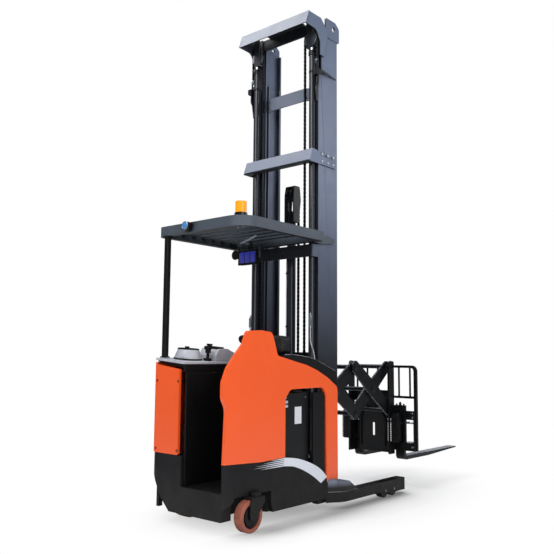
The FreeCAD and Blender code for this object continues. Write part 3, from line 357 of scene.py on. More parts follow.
def hubbed(name, tread, centre, radius):
    """Cast polyurethane bonded to an iron hub: tread colour outside the radius, black paint inside it."""
    mat = moulded(name, tread, 0.42, 3.0, 0.12)
    middle = at(*centre)

    def make(tree, old):
        spot = add(tree, "TexCoord").outputs["Object"]
        away = add(tree, "VectorMath", {0: spot, 1: middle}, operation="SUBTRACT").outputs[0]
        flat = add(tree, "VectorMath", {0: away, 1: (1, 0, 1)}, operation="MULTIPLY").outputs[0]
        far = add(tree, "VectorMath", {0: flat}, operation="LENGTH").outputs["Value"]
        edge = add(tree, "MapRange", {"Value": far, "From Min": (radius - 1) * MM,
                                      "From Max": (radius + 1) * MM})
        scuff = add(tree, "TexNoise", {"Vector": spot, "Scale": SCUFF, "Detail": 6.0})
        rolled = add(tree, "MapRange", {"Value": scuff.outputs["Fac"], "From Min": 0.45, "From Max": 0.75,
                                        "To Max": 0.35}).outputs[0]
        wear_and_sheen = add(tree, "Mix", {"Factor": rolled, "A": old, "B": linear("#7C5548")},
                   data_type="RGBA").outputs["Result"]
        return add(tree, "Mix", {"Factor": edge.outputs[0], "A": linear("#060607"), "B": wear_and_sheen},
                   data_type="RGBA").outputs["Result"]

    retint(mat, make)
    return quiet(mat, 0.3)


def painted_shade_below(tree, old):
    """Painted shade: the guard's faces that point down go near black."""
    below = facing(tree, "Z", -0.2, -0.6)
    return add(tree, "Mix", {"Factor": below, "A": old, "B": linear(bpy.context.scene.truck_colours.linkage)},
               data_type="RGBA").outputs["Result"]


def painted_sheen_on_covers(tree, old):
    """A painted sheen: pale on the upper parts of the leg covers, in patches."""
    top = add(tree, "MapRange", {"Value": height_of(tree), "From Min": 0.185, "From Max": 0.235}).outputs[0]
    spot = add(tree, "TexCoord").outputs["Object"]
    patch = add(tree, "TexNoise", {"Vector": spot, "Scale": SHEEN, "Detail": 3.0}).outputs["Fac"]
    wear_and_sheen = add(tree, "MapRange", {"Value": patch, "From Min": 0.30, "From Max": 0.62}).outputs[0]
    amount = add(tree, "Math", {0: top, 1: wear_and_sheen}, operation="MULTIPLY").outputs[0]
    return add(tree, "Mix", {"Factor": amount, "A": old, "B": linear("#7D8294")},
               data_type="RGBA").outputs["Result"]


def beacon_amber(name, hexcode):
    """Ribbed amber lens, lit a little from inside, on a black base."""
    mat, tree, bsdf = blank(name, Roughness=0.18)
    spot = add(tree, "TexCoord").outputs["Object"]
    ribs = add(tree, "TexWave", {"Vector": spot, "Scale": LENS_RIB}, bands_direction="Z")
    tone = add(tree, "ValToRGB", {"Fac": ribs.outputs["Fac"]},
               [(0.2, shade(hexcode, 0.92)), (0.8, shade(hexcode, 1.06))]).outputs["Color"]
    foot, start = LENS_FOOT
    lit = add(tree, "MapRange", {"Value": height_of(tree), "From Min": foot, "From Max": start}).outputs[0]
    body = add(tree, "Mix", {"Factor": lit, "A": linear("#0B0B0C"), "B": tone},
               data_type="RGBA").outputs["Result"]
    glow = add(tree, "Math", {0: lit, 1: LENS_GLOW}, operation="MULTIPLY").outputs[0]
    tree.links.new(body, bsdf.inputs["Base Color"])
    tree.links.new(glow, bsdf.inputs["Emission Strength"])
    bsdf.inputs["Emission Color"].default_value = linear(hexcode)
    return mat


MATERIALS = {}


def make_materials():
    c = bpy.context.scene.truck_colours
    m = MATERIALS
    # sprayed two-pack enamel: clean saturated colour under a soft gloss
    m["panel"] = painted("orange_enamel", c.panel, 0.36, 0.03, 1.6, 0.05, coat=0.2, dusty=0.06)
    # textured powder coat: dull, breaks highlights into a fine sparkle
    m["skirt"] = quiet(painted("charcoal_powder_coat", c.skirt, 0.55, 0.08, 2.2, 0.22, dusty=0.10), 0.22)
    # the same powder coat with a painted sheen: the tops of the leg covers are painted pale in patches
    m["shoe"] = quiet(painted("powder_coat_with_painted_sheen", c.skirt, 0.42, 0.08, 2.2, 0.2, dusty=0.10), 0.3)
    # painted sheen on the tops of the leg covers
    retint(m["shoe"], painted_sheen_on_covers)
    # sprayed enamel on rolled rails: half dull and slate, with painted light on it: painted shade darkens the
    # webs low down, the other faces and the recesses, and a painted highlight lies on faces that lean up
    m["mast"] = mast_enamel_with_painted_light("slate_enamel", c.mast, c.mast_low, c.cap, c.mast_dark)
    # the same enamel on the cap and its eyes, one slate from top to bottom, with painted shade on the other
    # faces and in recesses, and the tie's colour as a painted highlight on faces that lean up
    m["cap"] = mast_enamel_with_painted_light("cap_slate_enamel_with_painted_highlight", c.mast, c.mast, c.tie, c.mast_dark)
    # sprayed enamel on flat bar: the inner ties are one even mid slate
    m["tie"] = quiet(painted("plain_slate_enamel", c.tie, 0.42, 0.05, 1.8, 0.08), 0.35)
    # enamel sprayed on honed tube: smoother than the rails, so a long bright line runs down each cylinder
    m["cylinder"] = quiet(painted("cylinder_enamel", "#23262E", 0.25, 0.05, 1.8, 0.05, coat=0.3), 0.4)
    # enamel sprayed on welded steel: slate outside, with painted shade near black on the undersides and
    # between the slats
    m["guard"] = quiet(painted("slate_guard_enamel", c.guard, 0.42, 0.05, 1.8, 0.08), 0.35)
    # painted shade on the undersides
    retint(m["guard"], painted_shade_below)
    # painted shade in the recesses
    painted_recess_shade(m["guard"], c.linkage, 0.30, 0.62, 0.97)
    # black enamel on flame-cut plate: deep black with a faint uneven gloss
    m["linkage"] = quiet(painted("black_enamel", c.linkage, 0.36, 0.12, 1.8, 0.08, coat=0.05), 0.3)
    # the same black enamel, with a painted highlight in pale streaks on the narrow faces that point up or
    # down
    m["link"] = quiet(painted("black_link_enamel", c.linkage, 0.36, 0.12, 1.8, 0.08, coat=0.05), 0.3)
    pale_level_streaks(m["link"], "#7A7F88", 0.45, 0.70, 16.0, 0.55)
    # moulded black ABS: a fine grain that swallows highlights
    m["interior"] = quiet(moulded("black_abs", "#070708", 0.55), 0.25)
    # moulded ABS, silver through and through: a pale satin that shows every curve of the console
    m["console"] = moulded("silver_abs", "#BDC0C8", 0.36)
    # embossed vinyl over foam: soft black with a leathery grain
    m["pad"] = quiet(moulded("black_vinyl", "#111214", 0.48, 2.2, 0.5), 0.35)
    # acid-proof paint sprayed on a steel tray: black and slightly lumpy
    m["battery"] = quiet(painted("acid_proof_paint", "#0C0D0F", 0.42, 0.12, 2.0, 0.15), 0.3)
    # hard chrome ground round the rod: mirrors the room in thin bright lines
    m["chrome"] = metal("hard_chrome", "#D9DDE2", 0.10, (60, 60, 1), 0.03)
    # turned bare steel: grey with a brushed glint
    m["steel"] = metal("turned_steel", "#9A9EA5", 0.34)
    # bright zinc plate on bolts and pipes: even pale grey with a soft glint
    m["zinc"] = metal("zinc_plate", "#A4A8B0", 0.34, (4, 4, 4), 0.05)
    # thin black paint on forged forks, pale grey on the level faces in long streaks
    m["fork"] = quiet(painted("rubbed_fork_paint", "#101113", 0.40, 0.15, 3.0, 0.2), 0.3)
    pale_level_streaks(m["fork"], "#B9BCC3", 0.80, 0.95, 60.0, 0.9)
    # cast polyurethane under grease and floor dirt: dark brown and half dull
    m["load_tread"] = moulded("greasy_polyurethane", "#2B2322", 0.42, 3.0, 0.12)
    # cast polyurethane on painted iron hubs: warm brown rolling face round a black middle
    m["caster_tread"] = hubbed("caster_polyurethane", c.tread, (237, -450, 122), 88)
    m["drive_tread"] = hubbed("drive_polyurethane", c.tread, (300, 285, 165), 118)
    # blued and oiled chain plates: dark steel with small wet glints
    m["chain"] = metal("oiled_chain_steel", "#33363D", 0.30, (6, 6, 6), 0.05)
    # pressed rubber: flat black, no gloss
    m["rubber"] = quiet(moulded("ribbed_rubber", "#0A0A0B", 0.70, 2.0, 0.4), 0.25)
    # extruded hose rubber: black with a faint skin of gloss
    m["hose"] = quiet(moulded("hose_rubber", "#0D0E10", 0.45, 1.0, 0.2), 0.3)
    # cut vinyl film: an even pale silver that stands out from the skirt
    m["stripe"] = painted("pale_silver_vinyl", "#E4E9F2", 0.42, 0.02, 1.6, 0.02)
    # pressed tinted glass: dark blue-violet with a sharp reflection
    m["window"] = painted("tinted_glass", "#3C42B4", 0.08, 0.10, 1.6, 0.0, coat=1.0)
    # pressed blue glass: clear mid blue with a sharp reflection
    m["spot"] = painted("blue_lamp_glass", "#3E8ED0", 0.08, 0.10, 1.6, 0.0, coat=1.0)
    # stove enamel on a small sheet plate: plain off-white, half dull
    m["label"] = painted("blank_plate_enamel", "#E4E6EC", 0.45, 0.03, 1.6, 0.02)
    # touched-up paint on screw heads: dark red dots on the orange
    m["screw"] = painted("dark_red_screw_paint", "#5E1712", 0.35, 0.05, 1.6, 0.02)
    # moulded amber polycarbonate: glows a little by itself, with fine rings
    m["lens"] = beacon_amber("amber_polycarbonate", c.lens)


# ------------------------------------------------------------------ modelling helpers
WELD_MM = 0.02                                   # corners of a piece's facets that meet this closely are one
BEVEL_ANGLE = 32                                 # an edge sharper than this, in degrees, is rounded
SMOOTH_ANGLE = 35                                # faces that meet more flatly than this shade as one
SAME = 1e-6                                      # two places nearer than this, in metres, are the same
FLATS_TO_RADIUS = 1.732                          # a hexagon's width across flats over its corner radius
SIDES = (("right", -1), ("left", 1))


def deselect():
    if bpy.context.object and bpy.context.object.mode != "OBJECT":
        bpy.ops.object.mode_set(mode="OBJECT")
    bpy.ops.object.select_all(action="DESELECT")


def pick(item):
    """Make a piece the only one selected, and the active one."""
    deselect()
    item.select_set(True)
    bpy.context.view_layer.objects.active = item


def dress(name, finish, width_mm):
    """Give a construction piece its finish, weld its facets and round its sharp edges."""
    piece = NODES[name]
    weld = piece.modifiers.new("weld", "WELD")
    weld.merge_threshold = WELD_MM * MM
    bevel = piece.modifiers.new("edge", "BEVEL")
    bevel.width = width_mm * MM
    bevel.segments = 2
    bevel.limit_method = "ANGLE"
    bevel.angle_limit = math.radians(BEVEL_ANGLE)
    bevel.use_clamp_overlap = True
    # big flat faces keep flat shading, and only the rounded edges blend
    even = piece.modifiers.new("even", "WEIGHTED_NORMAL")
    even.keep_sharp = True
    piece.data.materials.clear()
    piece.data.materials.append(MATERIALS[finish])
    pick(piece)
    bpy.ops.object.shade_smooth_by_angle(angle=math.radians(SMOOTH_ANGLE))


def settle_loose(item, name, finish, angle=SMOOTH_ANGLE):
    """Put a new piece's place into its mesh, then name it and finish it."""
    item.name = name
    item.data.name = name
    pick(item)
    bpy.ops.object.transform_apply(location=True, rotation=True, scale=True)
    item.data.materials.clear()
    item.data.materials.append(MATERIALS[finish])
    bpy.ops.object.shade_smooth_by_angle(angle=math.radians(angle))
    return item


def settle(item, name, finish, body, angle=SMOOTH_ANGLE):
    """Finish a new piece and hang it on its body."""
    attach(settle_loose(item, name, finish, angle), body)
    return item


def round_edges(width_mm, segments=2):
    """Bevel every edge of the active new piece."""
    bpy.ops.object.mode_set(mode="EDIT")
    bpy.ops.mesh.select_all(action="SELECT")
    bpy.ops.mesh.bevel(offset=width_mm * MM, segments=segments, affect="EDGES", clamp_overlap=True)
    bpy.ops.object.mode_set(mode="OBJECT")


def block(low, high, edge_mm, turn=(0, 0, 0)):
    """A rounded block between two corners given in millimetres, turned about its middle."""
    deselect()
    a, b = at(*low), at(*high)
    bpy.ops.mesh.primitive_cube_add(size=1, location=(a + b) / 2)
    item = bpy.context.object
    item.dimensions = [abs(v) for v in b - a]
    bpy.ops.object.transform_apply(location=False, rotation=False, scale=True)
    round_edges(edge_mm)
    item.rotation_euler = [math.radians(v) for v in turn]
    return item


def bar(start, end, radius_mm, edge_mm, sides):
    """A round bar with rounded rims between two points in millimetres."""
    deselect()
    a, b = at(*start), at(*end)
    bpy.ops.mesh.primitive_cylinder_add(vertices=sides, radius=radius_mm * MM, depth=(b - a).length,
                                        location=(a + b) / 2)
    item = bpy.context.object
    bpy.ops.object.mode_set(mode="EDIT")
    bpy.ops.mesh.select_all(action="DESELECT")
    bpy.ops.object.mode_set(mode="OBJECT")
    half = (b - a).length / 2
    for edge in item.data.edges:
        ends = [item.data.vertices[i].co.z for i in edge.vertices]
        edge.select = abs(abs(ends[0]) - half) < SAME and abs(ends[0] - ends[1]) < SAME
    bpy.ops.object.mode_set(mode="EDIT")
    bpy.ops.mesh.bevel(offset=edge_mm * MM, segments=2, affect="EDGES", clamp_overlap=True)
    bpy.ops.object.mode_set(mode="OBJECT")
    item.rotation_euler = (b - a).to_track_quat("Z", "Y").to_euler()
    return item


def pipe(points, radius_mm):
    """A bent tube along points in millimetres, from a smooth curve."""
    line = bpy.data.curves.new("line", "CURVE")
    line.dimensions = "3D"
    line.bevel_depth = radius_mm * MM
    line.bevel_resolution = 3
    line.resolution_u = 8
    line.use_fill_caps = True
    spline = line.splines.new("NURBS")
    spline.points.add(len(points) - 1)
    for point, place_mm in zip(spline.points, points):
        point.co = (*at(*place_mm), 1)
    spline.order_u = 3
    spline.use_endpoint_u = True
    item = bpy.data.objects.new("line", line)
    bpy.context.scene.collection.objects.link(item)
    pick(item)
    bpy.ops.object.convert(target="MESH")
    return bpy.context.object


def merged(items):
    """Join new pieces into one object."""
    deselect()
    for item in items:
        item.select_set(True)
    bpy.context.view_layer.objects.active = items[0]
    if len(items) > 1:
        bpy.ops.object.join()
    return bpy.context.object


def copies(source, spots):
    """One joined object of copies of a new piece, at (x, y, z) in millimetres and a turn in degrees."""
    made = []
    for spot, turn in spots:
        other = source.copy()
        other.data = source.data.copy()
        other.location = at(*spot)
        other.rotation_euler = [math.radians(v) for v in turn]
        bpy.context.scene.collection.objects.link(other)
        made.append(other)
    bpy.data.objects.remove(source)
    return merged(made)


def hexagon(across_mm, high_mm, washer_mm=None):
    """A hexagon bolt head on its washer, standing along z at the origin."""
    deselect()
    bpy.ops.mesh.primitive_cylinder_add(vertices=6, radius=across_mm / FLATS_TO_RADIUS * MM,
                                        depth=high_mm * MM, location=(0, 0, high_mm * MM / 2))
    round_edges(high_mm * 0.12, 1)
    head = bpy.context.object
    deselect()
    wide = washer_mm or across_mm * 1.25
    bpy.ops.mesh.primitive_cylinder_add(vertices=20, radius=wide / 2 * MM, depth=2 * MM, location=(0, 0, MM))
    round_edges(0.5, 1)
    washer = bpy.context.object
    item = merged([head, washer])
    bpy.ops.object.transform_apply(location=True, rotation=True, scale=True)
    return item


def sheet_cut(outline, y_mm, thick_mm=0.6):
    """A thin film cut to an outline of (x, z) on a plane facing sideways, its middle at y."""
    flat = bpy.data.curves.new("film", "CURVE")
    flat.dimensions = "2D"
    flat.fill_mode = "BOTH"
    flat.extrude = thick_mm / 2 * MM
    spline = flat.splines.new("POLY")
    spline.points.add(len(outline) - 1)
    for point, (x, z) in zip(spline.points, outline):
        point.co = (REAR + x * MM, z * MM, 0, 1)
    spline.use_cyclic_u = True
    item = bpy.data.objects.new("film", flat)
    bpy.context.scene.collection.objects.link(item)
    pick(item)
    bpy.ops.object.convert(target="MESH")
    item = bpy.context.object
    item.rotation_euler = (math.pi / 2, 0, 0)
    item.location = (0, y_mm * MM, 0)
    return item


def smooth_line(points):
    """Points of a smooth curve through the given (x, z) points."""
    steps = 8
    line = []
    count = len(points)
    for i in range(count - 1):
        p0, p1, p2, p3 = (Vector(points[max(0, min(count - 1, k))]) for k in (i - 1, i, i + 1, i + 2))
        for step in range(steps):
            u = step / steps
            line.append(0.5 * ((2 * p1) + (p2 - p0) * u + (2 * p0 - 5 * p1 + 4 * p2 - p3) * u * u
                               + (3 * p1 - p0 - 3 * p2 + p3) * u ** 3))
    line.append(Vector(points[-1]))
    return [tuple(v) for v in line]


# ------------------------------------------------------------------ operators
# soft lamps: name, where each stands and what it faces in millimetres, its size in metres, its power in watts
LAMPS = (
    ("key", (-3200, -1200, 5200), (600, -300, 900), 3.4, 170),
    ("fill", (-1200, -5600, 2600), (900, -400, 1200), 4.0, 120),
    ("top", (900, 1700, 6200), (900, 0, 0), 3.0, 160),
    ("rim", (5200, -3600, 4600), (2200, 0, 1000), 3.0, 60),
)


class TRUCK_OT_stage(bpy.types.Operator):
    """Pale floor, soft studio light and the camera"""
    bl_idname = "truck.stage"
    bl_label = "Stage"

    def execute(self, context):
        scene = context.scene
        view = scene.truck_view
        deselect()
        bpy.ops.mesh.primitive_plane_add(size=60, location=(0, 0, 0))
        floor = context.object
        floor.name = "floor"
        mat, tree, bsdf = blank("white_floor", Roughness=0.9)
        bsdf.inputs["Specular IOR Level"].default_value = 0.0
        # a contact shade where little of the sky is open: full along the truck's right side, and weaker
        # under it and behind it, where the lamps' own shadows are dark enough
        open_sky = add(tree, "AmbientOcclusion", {"Distance": 0.45}, samples=16).outputs["AO"]
        spot = add(tree, "TexCoord").outputs["Object"]
        parts = add(tree, "SeparateXYZ", {"Vector": spot})
        aside = add(tree, "MapRange", {"Value": parts.outputs["Y"], "From Min": -0.38, "From Max": -0.56,
                                       "To Min": 0.25, "To Max": 1.0}).outputs[0]
        along = add(tree, "MapRange", {"Value": parts.outputs["X"], "From Min": REAR - 0.1,
                                       "From Max": REAR + 0.4, "To Min": 0.35, "To Max": 1.0}).outputs[0]
        amount = add(tree, "Math", {0: aside, 1: along}, operation="MULTIPLY").outputs[0]
        dark = add(tree, "ValToRGB", {"Fac": open_sky},
                   [(0.45, grey(0.02)), (0.97, grey(1.0))]).outputs["Color"]
        tone = add(tree, "Mix", {"Factor": amount, "A": grey(1.0), "B": dark},
                   data_type="RGBA").outputs["Result"]
        tree.links.new(tone, bsdf.inputs["Base Color"])
        white = add(tree, "Emission", {"Color": tone, "Strength": 1.0})
        path = add(tree, "LightPath")
        out = [n for n in tree.nodes if n.bl_idname == "ShaderNodeOutputMaterial"][0]
        # the floor keeps a soft contact shadow near the truck and fades into plain white around it
        away = add(tree, "VectorMath", {0: spot, 1: (1, 1.6, 1)}, operation="MULTIPLY").outputs[0]
        reach = add(tree, "VectorMath", {0: away}, operation="LENGTH").outputs["Value"]
        fade = add(tree, "MapRange", {"Value": reach, "From Min": 0.8, "From Max": 2.3, "To Min": 0.45,
                                      "To Max": 1.0}, interpolation_type="SMOOTHSTEP").outputs[0]
        lifted = add(tree, "MixShader", {0: fade, 1: bsdf.outputs[0], 2: white.outputs[0]})
        seen = add(tree, "MixShader", {0: path.outputs["Is Camera Ray"], 1: bsdf.outputs[0],
                                       2: lifted.outputs[0]})
        tree.links.new(seen.outputs[0], out.inputs["Surface"])
        floor.data.materials.append(mat)

        world = bpy.data.worlds.new("studio")
        scene.world = world
        world.use_nodes = True
        tree = world.node_tree
        tree.nodes.clear()
        path = add(tree, "LightPath")
        seen = add(tree, "Math", {0: path.outputs["Is Camera Ray"], 1: path.outputs["Is Transmission Ray"]},
                   operation="MAXIMUM").outputs[0]
        soft = add(tree, "Background", {"Color": linear("#E8EEF8"), "Strength": 0.24})
        plain = add(tree, "Background", {"Color": (1, 1, 1, 1), "Strength": 1.0})
        mixed = add(tree, "MixShader", {0: seen, 1: soft.outputs[0], 2: plain.outputs[0]})
        add(tree, "OutputWorld", {"Surface": mixed.outputs[0]})

        for name, stand, target, size, power in LAMPS:
            lamp = bpy.data.lights.new(name, "AREA")
            lamp.size = size
            lamp.energy = power
            item = bpy.data.objects.new(name, lamp)
            item.location = at(*stand)
            item.rotation_euler = (at(*target) - at(*stand)).to_track_quat("-Z", "Y").to_euler()
            scene.collection.objects.link(item)

        lens = bpy.data.cameras.new("camera")
        lens.lens = view.focal
        lens.sensor_width = 36
        lens.clip_end = 100
        camera = bpy.data.objects.new("camera", lens)
        camera.location = Vector((REAR - view.back, -view.right, view.height))
        aim = Euler((math.pi / 2 + view.tilt, 0, view.turn - math.pi / 2), "XYZ").to_matrix()
        camera.rotation_euler = (aim @ Matrix.Rotation(view.roll, 3, "Z")).to_euler()
        scene.collection.objects.link(camera)
        scene.camera = camera
        scene.view_settings.view_transform = "Standard"
        return {"FINISHED"}


# each construction piece's finish, and the width its sharp edges are rounded over in millimetres
FINISHES = {
    "chassis": ("skirt", 4), "compartment_liner": ("interior", 4), "rear_panel": ("panel", 6),
    "right_side_panel": ("panel", 9), "left_side_panel": ("panel", 9), "battery": ("battery", 4),
    "battery_hood": ("interior", 6), "console_top": ("console", 5), "console_rim": ("interior", 3),
    "control_pod": ("console", 5), "steering_tiller": ("console", 3), "control_handle": ("interior", 3),
    "back_pad": ("pad", 14), "overhead_guard": ("guard", 4), "guard_brackets": ("guard", 2),
    "guard_post": ("interior", 3), "beacon": ("lens", 2), "guard_lights": ("interior", 4),
    "outrigger_right": ("skirt", 4), "outrigger_left": ("skirt", 4), "bay_covers": ("interior", 4),
    "shoe_covers": ("shoe", 8), "load_axles": ("steel", 1), "right_load_wheel_rear": ("load_tread", 1),
    "right_load_wheel_front": ("load_tread", 1), "left_load_wheel_rear": ("load_tread", 1),
    "left_load_wheel_front": ("load_tread", 1), "drive_unit": ("steel", 2), "drive_wheel": ("drive_tread", 1),
    "caster_fork": ("skirt", 2), "caster_wheel": ("caster_tread", 1), "outer_rails": ("mast", 3),
    "outer_crossbars": ("mast", 2), "chain_anchors": ("link", 2), "lift_cylinders": ("cylinder", 1),
    "inter_rails": ("mast", 3), "inter_cap": ("cap", 2), "lifting_eyes": ("cap", 2), "inter_tie": ("mast", 2),
    "chain_sheaves": ("steel", 1), "lift_rods": ("chrome", 0.5), "inner_rails": ("mast", 3),
    "inner_ties": ("tie", 2), "free_lift_cylinder": ("cylinder", 1), "free_lift_head": ("linkage", 2),
    "rear_outer_links": ("link", 2), "rear_inner_links": ("link", 2), "front_inner_links": ("link", 2),
    "front_outer_links": ("link", 2), "mast_carriage": ("linkage", 2), "front_frame": ("linkage", 2),
    "reach_barrels": ("linkage", 1), "reach_rods": ("chrome", 0.5), "fork_carriage": ("linkage", 2),
    "load_backrest": ("linkage", 3), "fork_right": ("fork", 3), "fork_left": ("fork", 3),
}


class TRUCK_OT_finishes(bpy.types.Operator):
    """Finish every construction piece"""
    bl_idname = "truck.finishes"
    bl_label = "Finishes"

    def execute(self, context):
        make_materials()
        for name, (finish, width) in FINISHES.items():
            dress(name, finish, width)
        return {"FINISHED"}


# ------------------------------------------------------------------ chains
LEAF_PITCH = 19.05
LEAF_PLATES = ((-6, -0.5), (0, -0.5), (6, -0.5), (-3, -1.5), (3, -1.5))    # x, and height in pitches
WRAP_RADIUS = 69.0                               # leaf chain's middle line around the sheaves of the mast
HEAD_WRAP_RADIUS = 60.0                          # the same around the sheaves of the free lift head
LIFT_SHEAVE = (1149, 331, 4290)                  # middle of a lift chain's sheave, on the left side
# a lift chain's two runs: distance outwards from that middle, height of the lower end, and its body
LIFT_ENDS = (("outer", WRAP_RADIUS, 4062, "truck"), ("inner", -WRAP_RADIUS, 240, "inner_mast"))
HEAD_SHEAVE = (1294, 25, 2868)                   # middle of a head chain's sheave, on the left side
HEAD_REAR_END = 2480                             # its rear run ends on the inner mast
HEAD_FRONT_END = 1372                            # its front run ends on the mast carriage
ORIGIN_X = -REAR / MM                            # the frame's origin, in millimetres from the rear bumper


def leaf(turned):
    """Two pitches of leaf chain hanging from the origin, its pins along x, or along y when turned."""
    deselect()
    bpy.ops.mesh.primitive_cube_add(size=1)
    plate = bpy.context.object
    plate.dimensions = (2.6 * MM, 15 * MM, (LEAF_PITCH + 14) * MM)
    bpy.ops.object.transform_apply(location=False, rotation=False, scale=True)
    bpy.ops.object.mode_set(mode="EDIT")
    bpy.ops.mesh.select_all(action="DESELECT")
    bpy.ops.object.mode_set(mode="OBJECT")
    # the edges through the plate's thickness, which make its round ends
    for edge in plate.data.edges:
        first, second = (plate.data.vertices[i].co for i in edge.vertices)
        edge.select = abs(first.x - second.x) > SAME
    bpy.ops.object.mode_set(mode="EDIT")
    bpy.ops.mesh.bevel(offset=6.2 * MM, segments=2, affect="EDGES")
    bpy.ops.object.mode_set(mode="OBJECT")
    plates = copies(plate, [((ORIGIN_X + x, 0, up * LEAF_PITCH), (0, 0, 0)) for x, up in LEAF_PLATES])
    pins = [bar((ORIGIN_X - 9, 0, z), (ORIGIN_X + 9, 0, z), 3.6, 0.6, 8) for z in (0, -LEAF_PITCH)]
    item = merged([plates] + pins)
    bpy.ops.object.transform_apply(location=True, rotation=True, scale=True)
    if turned:
        item.rotation_euler = (0, 0, math.pi / 2)
        bpy.ops.object.transform_apply(location=False, rotation=True, scale=False)
    return item


def strand(x, y, top, bottom, turned):
    """A straight run of leaf chain, its links evenly shared over the height."""
    item = leaf(turned)
    count = max(1, round((top - bottom) / (2 * LEAF_PITCH)))
    rows = item.modifiers.new("rows", "ARRAY")
    rows.count = count
    rows.use_relative_offset = False
    rows.use_constant_offset = True
    rows.constant_offset_displace = (0, 0, -(top - bottom) / count * MM)
    bpy.ops.object.modifier_apply(modifier="rows")
    item.location = at(x, y, top)
    return item


def wrap(centre, turned):
    """Leaf chain over the top half of a sheave."""
    x, y, z = centre
    count = round(math.pi * WRAP_RADIUS / (2 * LEAF_PITCH))
    radius = HEAD_WRAP_RADIUS if turned else WRAP_RADIUS
    spots = []
    for index in range(count):
        angle = math.pi * (index + 0.5) / count
        aside, up = math.cos(angle), math.sin(angle)
        # each cell hangs from its upper pin, so it starts one pitch back along the sheave's tangent
        across, high = radius * aside - LEAF_PITCH * up, radius * up + LEAF_PITCH * aside
        if turned:
            spots.append(((x + across, y, z + high), (0, -math.degrees(angle), 0)))
        else:
            spots.append(((x, y + across, z + high), (math.degrees(angle), 0, 0)))
    return copies(leaf(turned), spots)


class TRUCK_OT_chains(bpy.types.Operator):
    """Leaf chains of the mast, from their anchors over the sheaves"""
    bl_idname = "truck.chains"
    bl_label = "Chains"

    def execute(self, context):
        for name, side in SIDES:
            x, y, top = LIFT_SHEAVE
            settle(wrap((x, y * side, top), False), name + "_lift_chain_arc", "chain", "intermediate_mast")
            for part, aside, low, body in LIFT_ENDS:
                beside = (y + aside) * side
                run = settle_loose(strand(x, beside, top, low, False),
                                   "%s_lift_chain_%s" % (name, part), "chain")
                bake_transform(run)
            anchor = (y + WRAP_RADIUS) * side
            clevis = block((x - 11, anchor - 9, 4034), (x + 11, anchor + 9, 4078), 3)
            settle(clevis, name + "_chain_clevis", "zinc", "truck")
            x, y, top = HEAD_SHEAVE
            settle(wrap((x, y * side, top), True), name + "_head_chain_arc", "chain", "free_lift_head")
            rear, front = x - HEAD_WRAP_RADIUS, x + HEAD_WRAP_RADIUS
            run = settle_loose(strand(rear, y * side, top, HEAD_REAR_END, True),
                               name + "_head_chain_rear", "chain")
            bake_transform(run)
            # the front run gets shorter by as much as the head gains on half the carriage's travel
            run = settle(strand(front, y * side, top, HEAD_FRONT_END, True),
                         name + "_head_chain_front", "chain", "free_lift_head")
            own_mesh(run)
        return {"FINISHED"}


# ------------------------------------------------------------------ mast
CYLINDER = (1145, 348)                           # x of a lift cylinder, and its distance from the middle
VALVE = (1110, 361)                              # the same of the burst valve at its foot
FREE_CYLINDER_X = 1279                           # of the free lift cylinder, in the middle plane
FREE_PIPE_X = 1231                               # of the pipe that feeds the free lift cylinder


class TRUCK_OT_mast_fittings(bpy.types.Operator):
    """Pipes, valve blocks and bolts of the mast"""
    bl_idname = "truck.mast_fittings"
    bl_label = "Mast Fittings"

    def execute(self, context):
        for name, side in SIDES:
            x, y = VALVE[0], VALVE[1] * side
            body = block((x - 12, y - 13, 1600), (x + 12, y + 13, 1692), 3)
            nut = bar((x, y, 1692), (x, y, 1716), 9, 1.5, 6)
            low = bar((x, y, 1578), (x, y, 1602), 10, 1.5, 6)
            settle(merged([body, nut, low]), name + "_burst_valve", "zinc", "truck")
            line = pipe([(x, y, 1580), (x, y, 1500), (1108, 368 * side, 1440), (1112, 404 * side, 1360),
                         (1114, 408 * side, 1300)], 6.5)
            settle(line, name + "_lift_pipe", "steel", "truck")
            x, y = CYLINDER[0], CYLINDER[1] * side
            bands = [bar((x, y, z), (x, y, z + 22), 30.5, 2, 32) for z in (900, 2270, 3130, 3950)]
            settle(merged(bands), name + "_cylinder_bands", "linkage", "truck")
            gland = bar((x, y, 4120), (x, y, 4168), 34, 4, 32)
            settle(gland, name + "_cylinder_gland", "linkage", "truck")
        x = FREE_PIPE_X
        line = pipe([(x, 18, 330), (x, 18, 800), (x, 18, 1400), (x, 18, 2300), (1236, 14, 2380),
                     (1246, 8, 2400)], 4.5)
        settle(line, "free_lift_pipe", "zinc", "inner_mast")
        clips = [block((x - 5, 11, z), (x + 15, 26, z + 16), 2) for z in (600, 1100, 1600, 2100)]
        settle(merged(clips), "free_lift_pipe_clips", "linkage", "inner_mast")
        collar = bar((FREE_CYLINDER_X, 0, 2440), (FREE_CYLINDER_X, 0, 2486), 47, 4, 32)
        settle(collar, "free_lift_gland", "linkage", "inner_mast")
        sensor = merged([block((1180, 402, 3935), (1216, 436, 4030), 6),
                         block((1172, 400, 3960), (1184, 440, 4004), 4)])
        settle(sensor, "height_switch", "interior", "truck")
        spots = [((x, side * 410, z), (-90 * side, 0, 0)) for side in (-1, 1)
                 for x in (1215, 1300, 1385) for z in (3112, 3182)]
        settle(copies(hexagon(19, 9), spots), "crossbar_bolts", "zinc", "truck")
        spots = [((1090, y, z), (0, -90, 0)) for y in (-360, -300, 300, 360) for z in (330, 400, 470)]
        settle(copies(hexagon(24, 11), spots), "foot_crossbar_bolts", "zinc", "truck")
        spots = [((1207, y, z), (0, -90, 0)) for y in (-225, 225) for z in (3765, 3828)]
        settle(copies(hexagon(16, 8), spots), "inner_tie_bolts", "zinc", "inner_mast")
        return {"FINISHED"}


# ------------------------------------------------------------------ overhead guard
SPOT_LAMP = (91, 2394)                           # middle of the spot lamp on the guard's rear edge: y, z


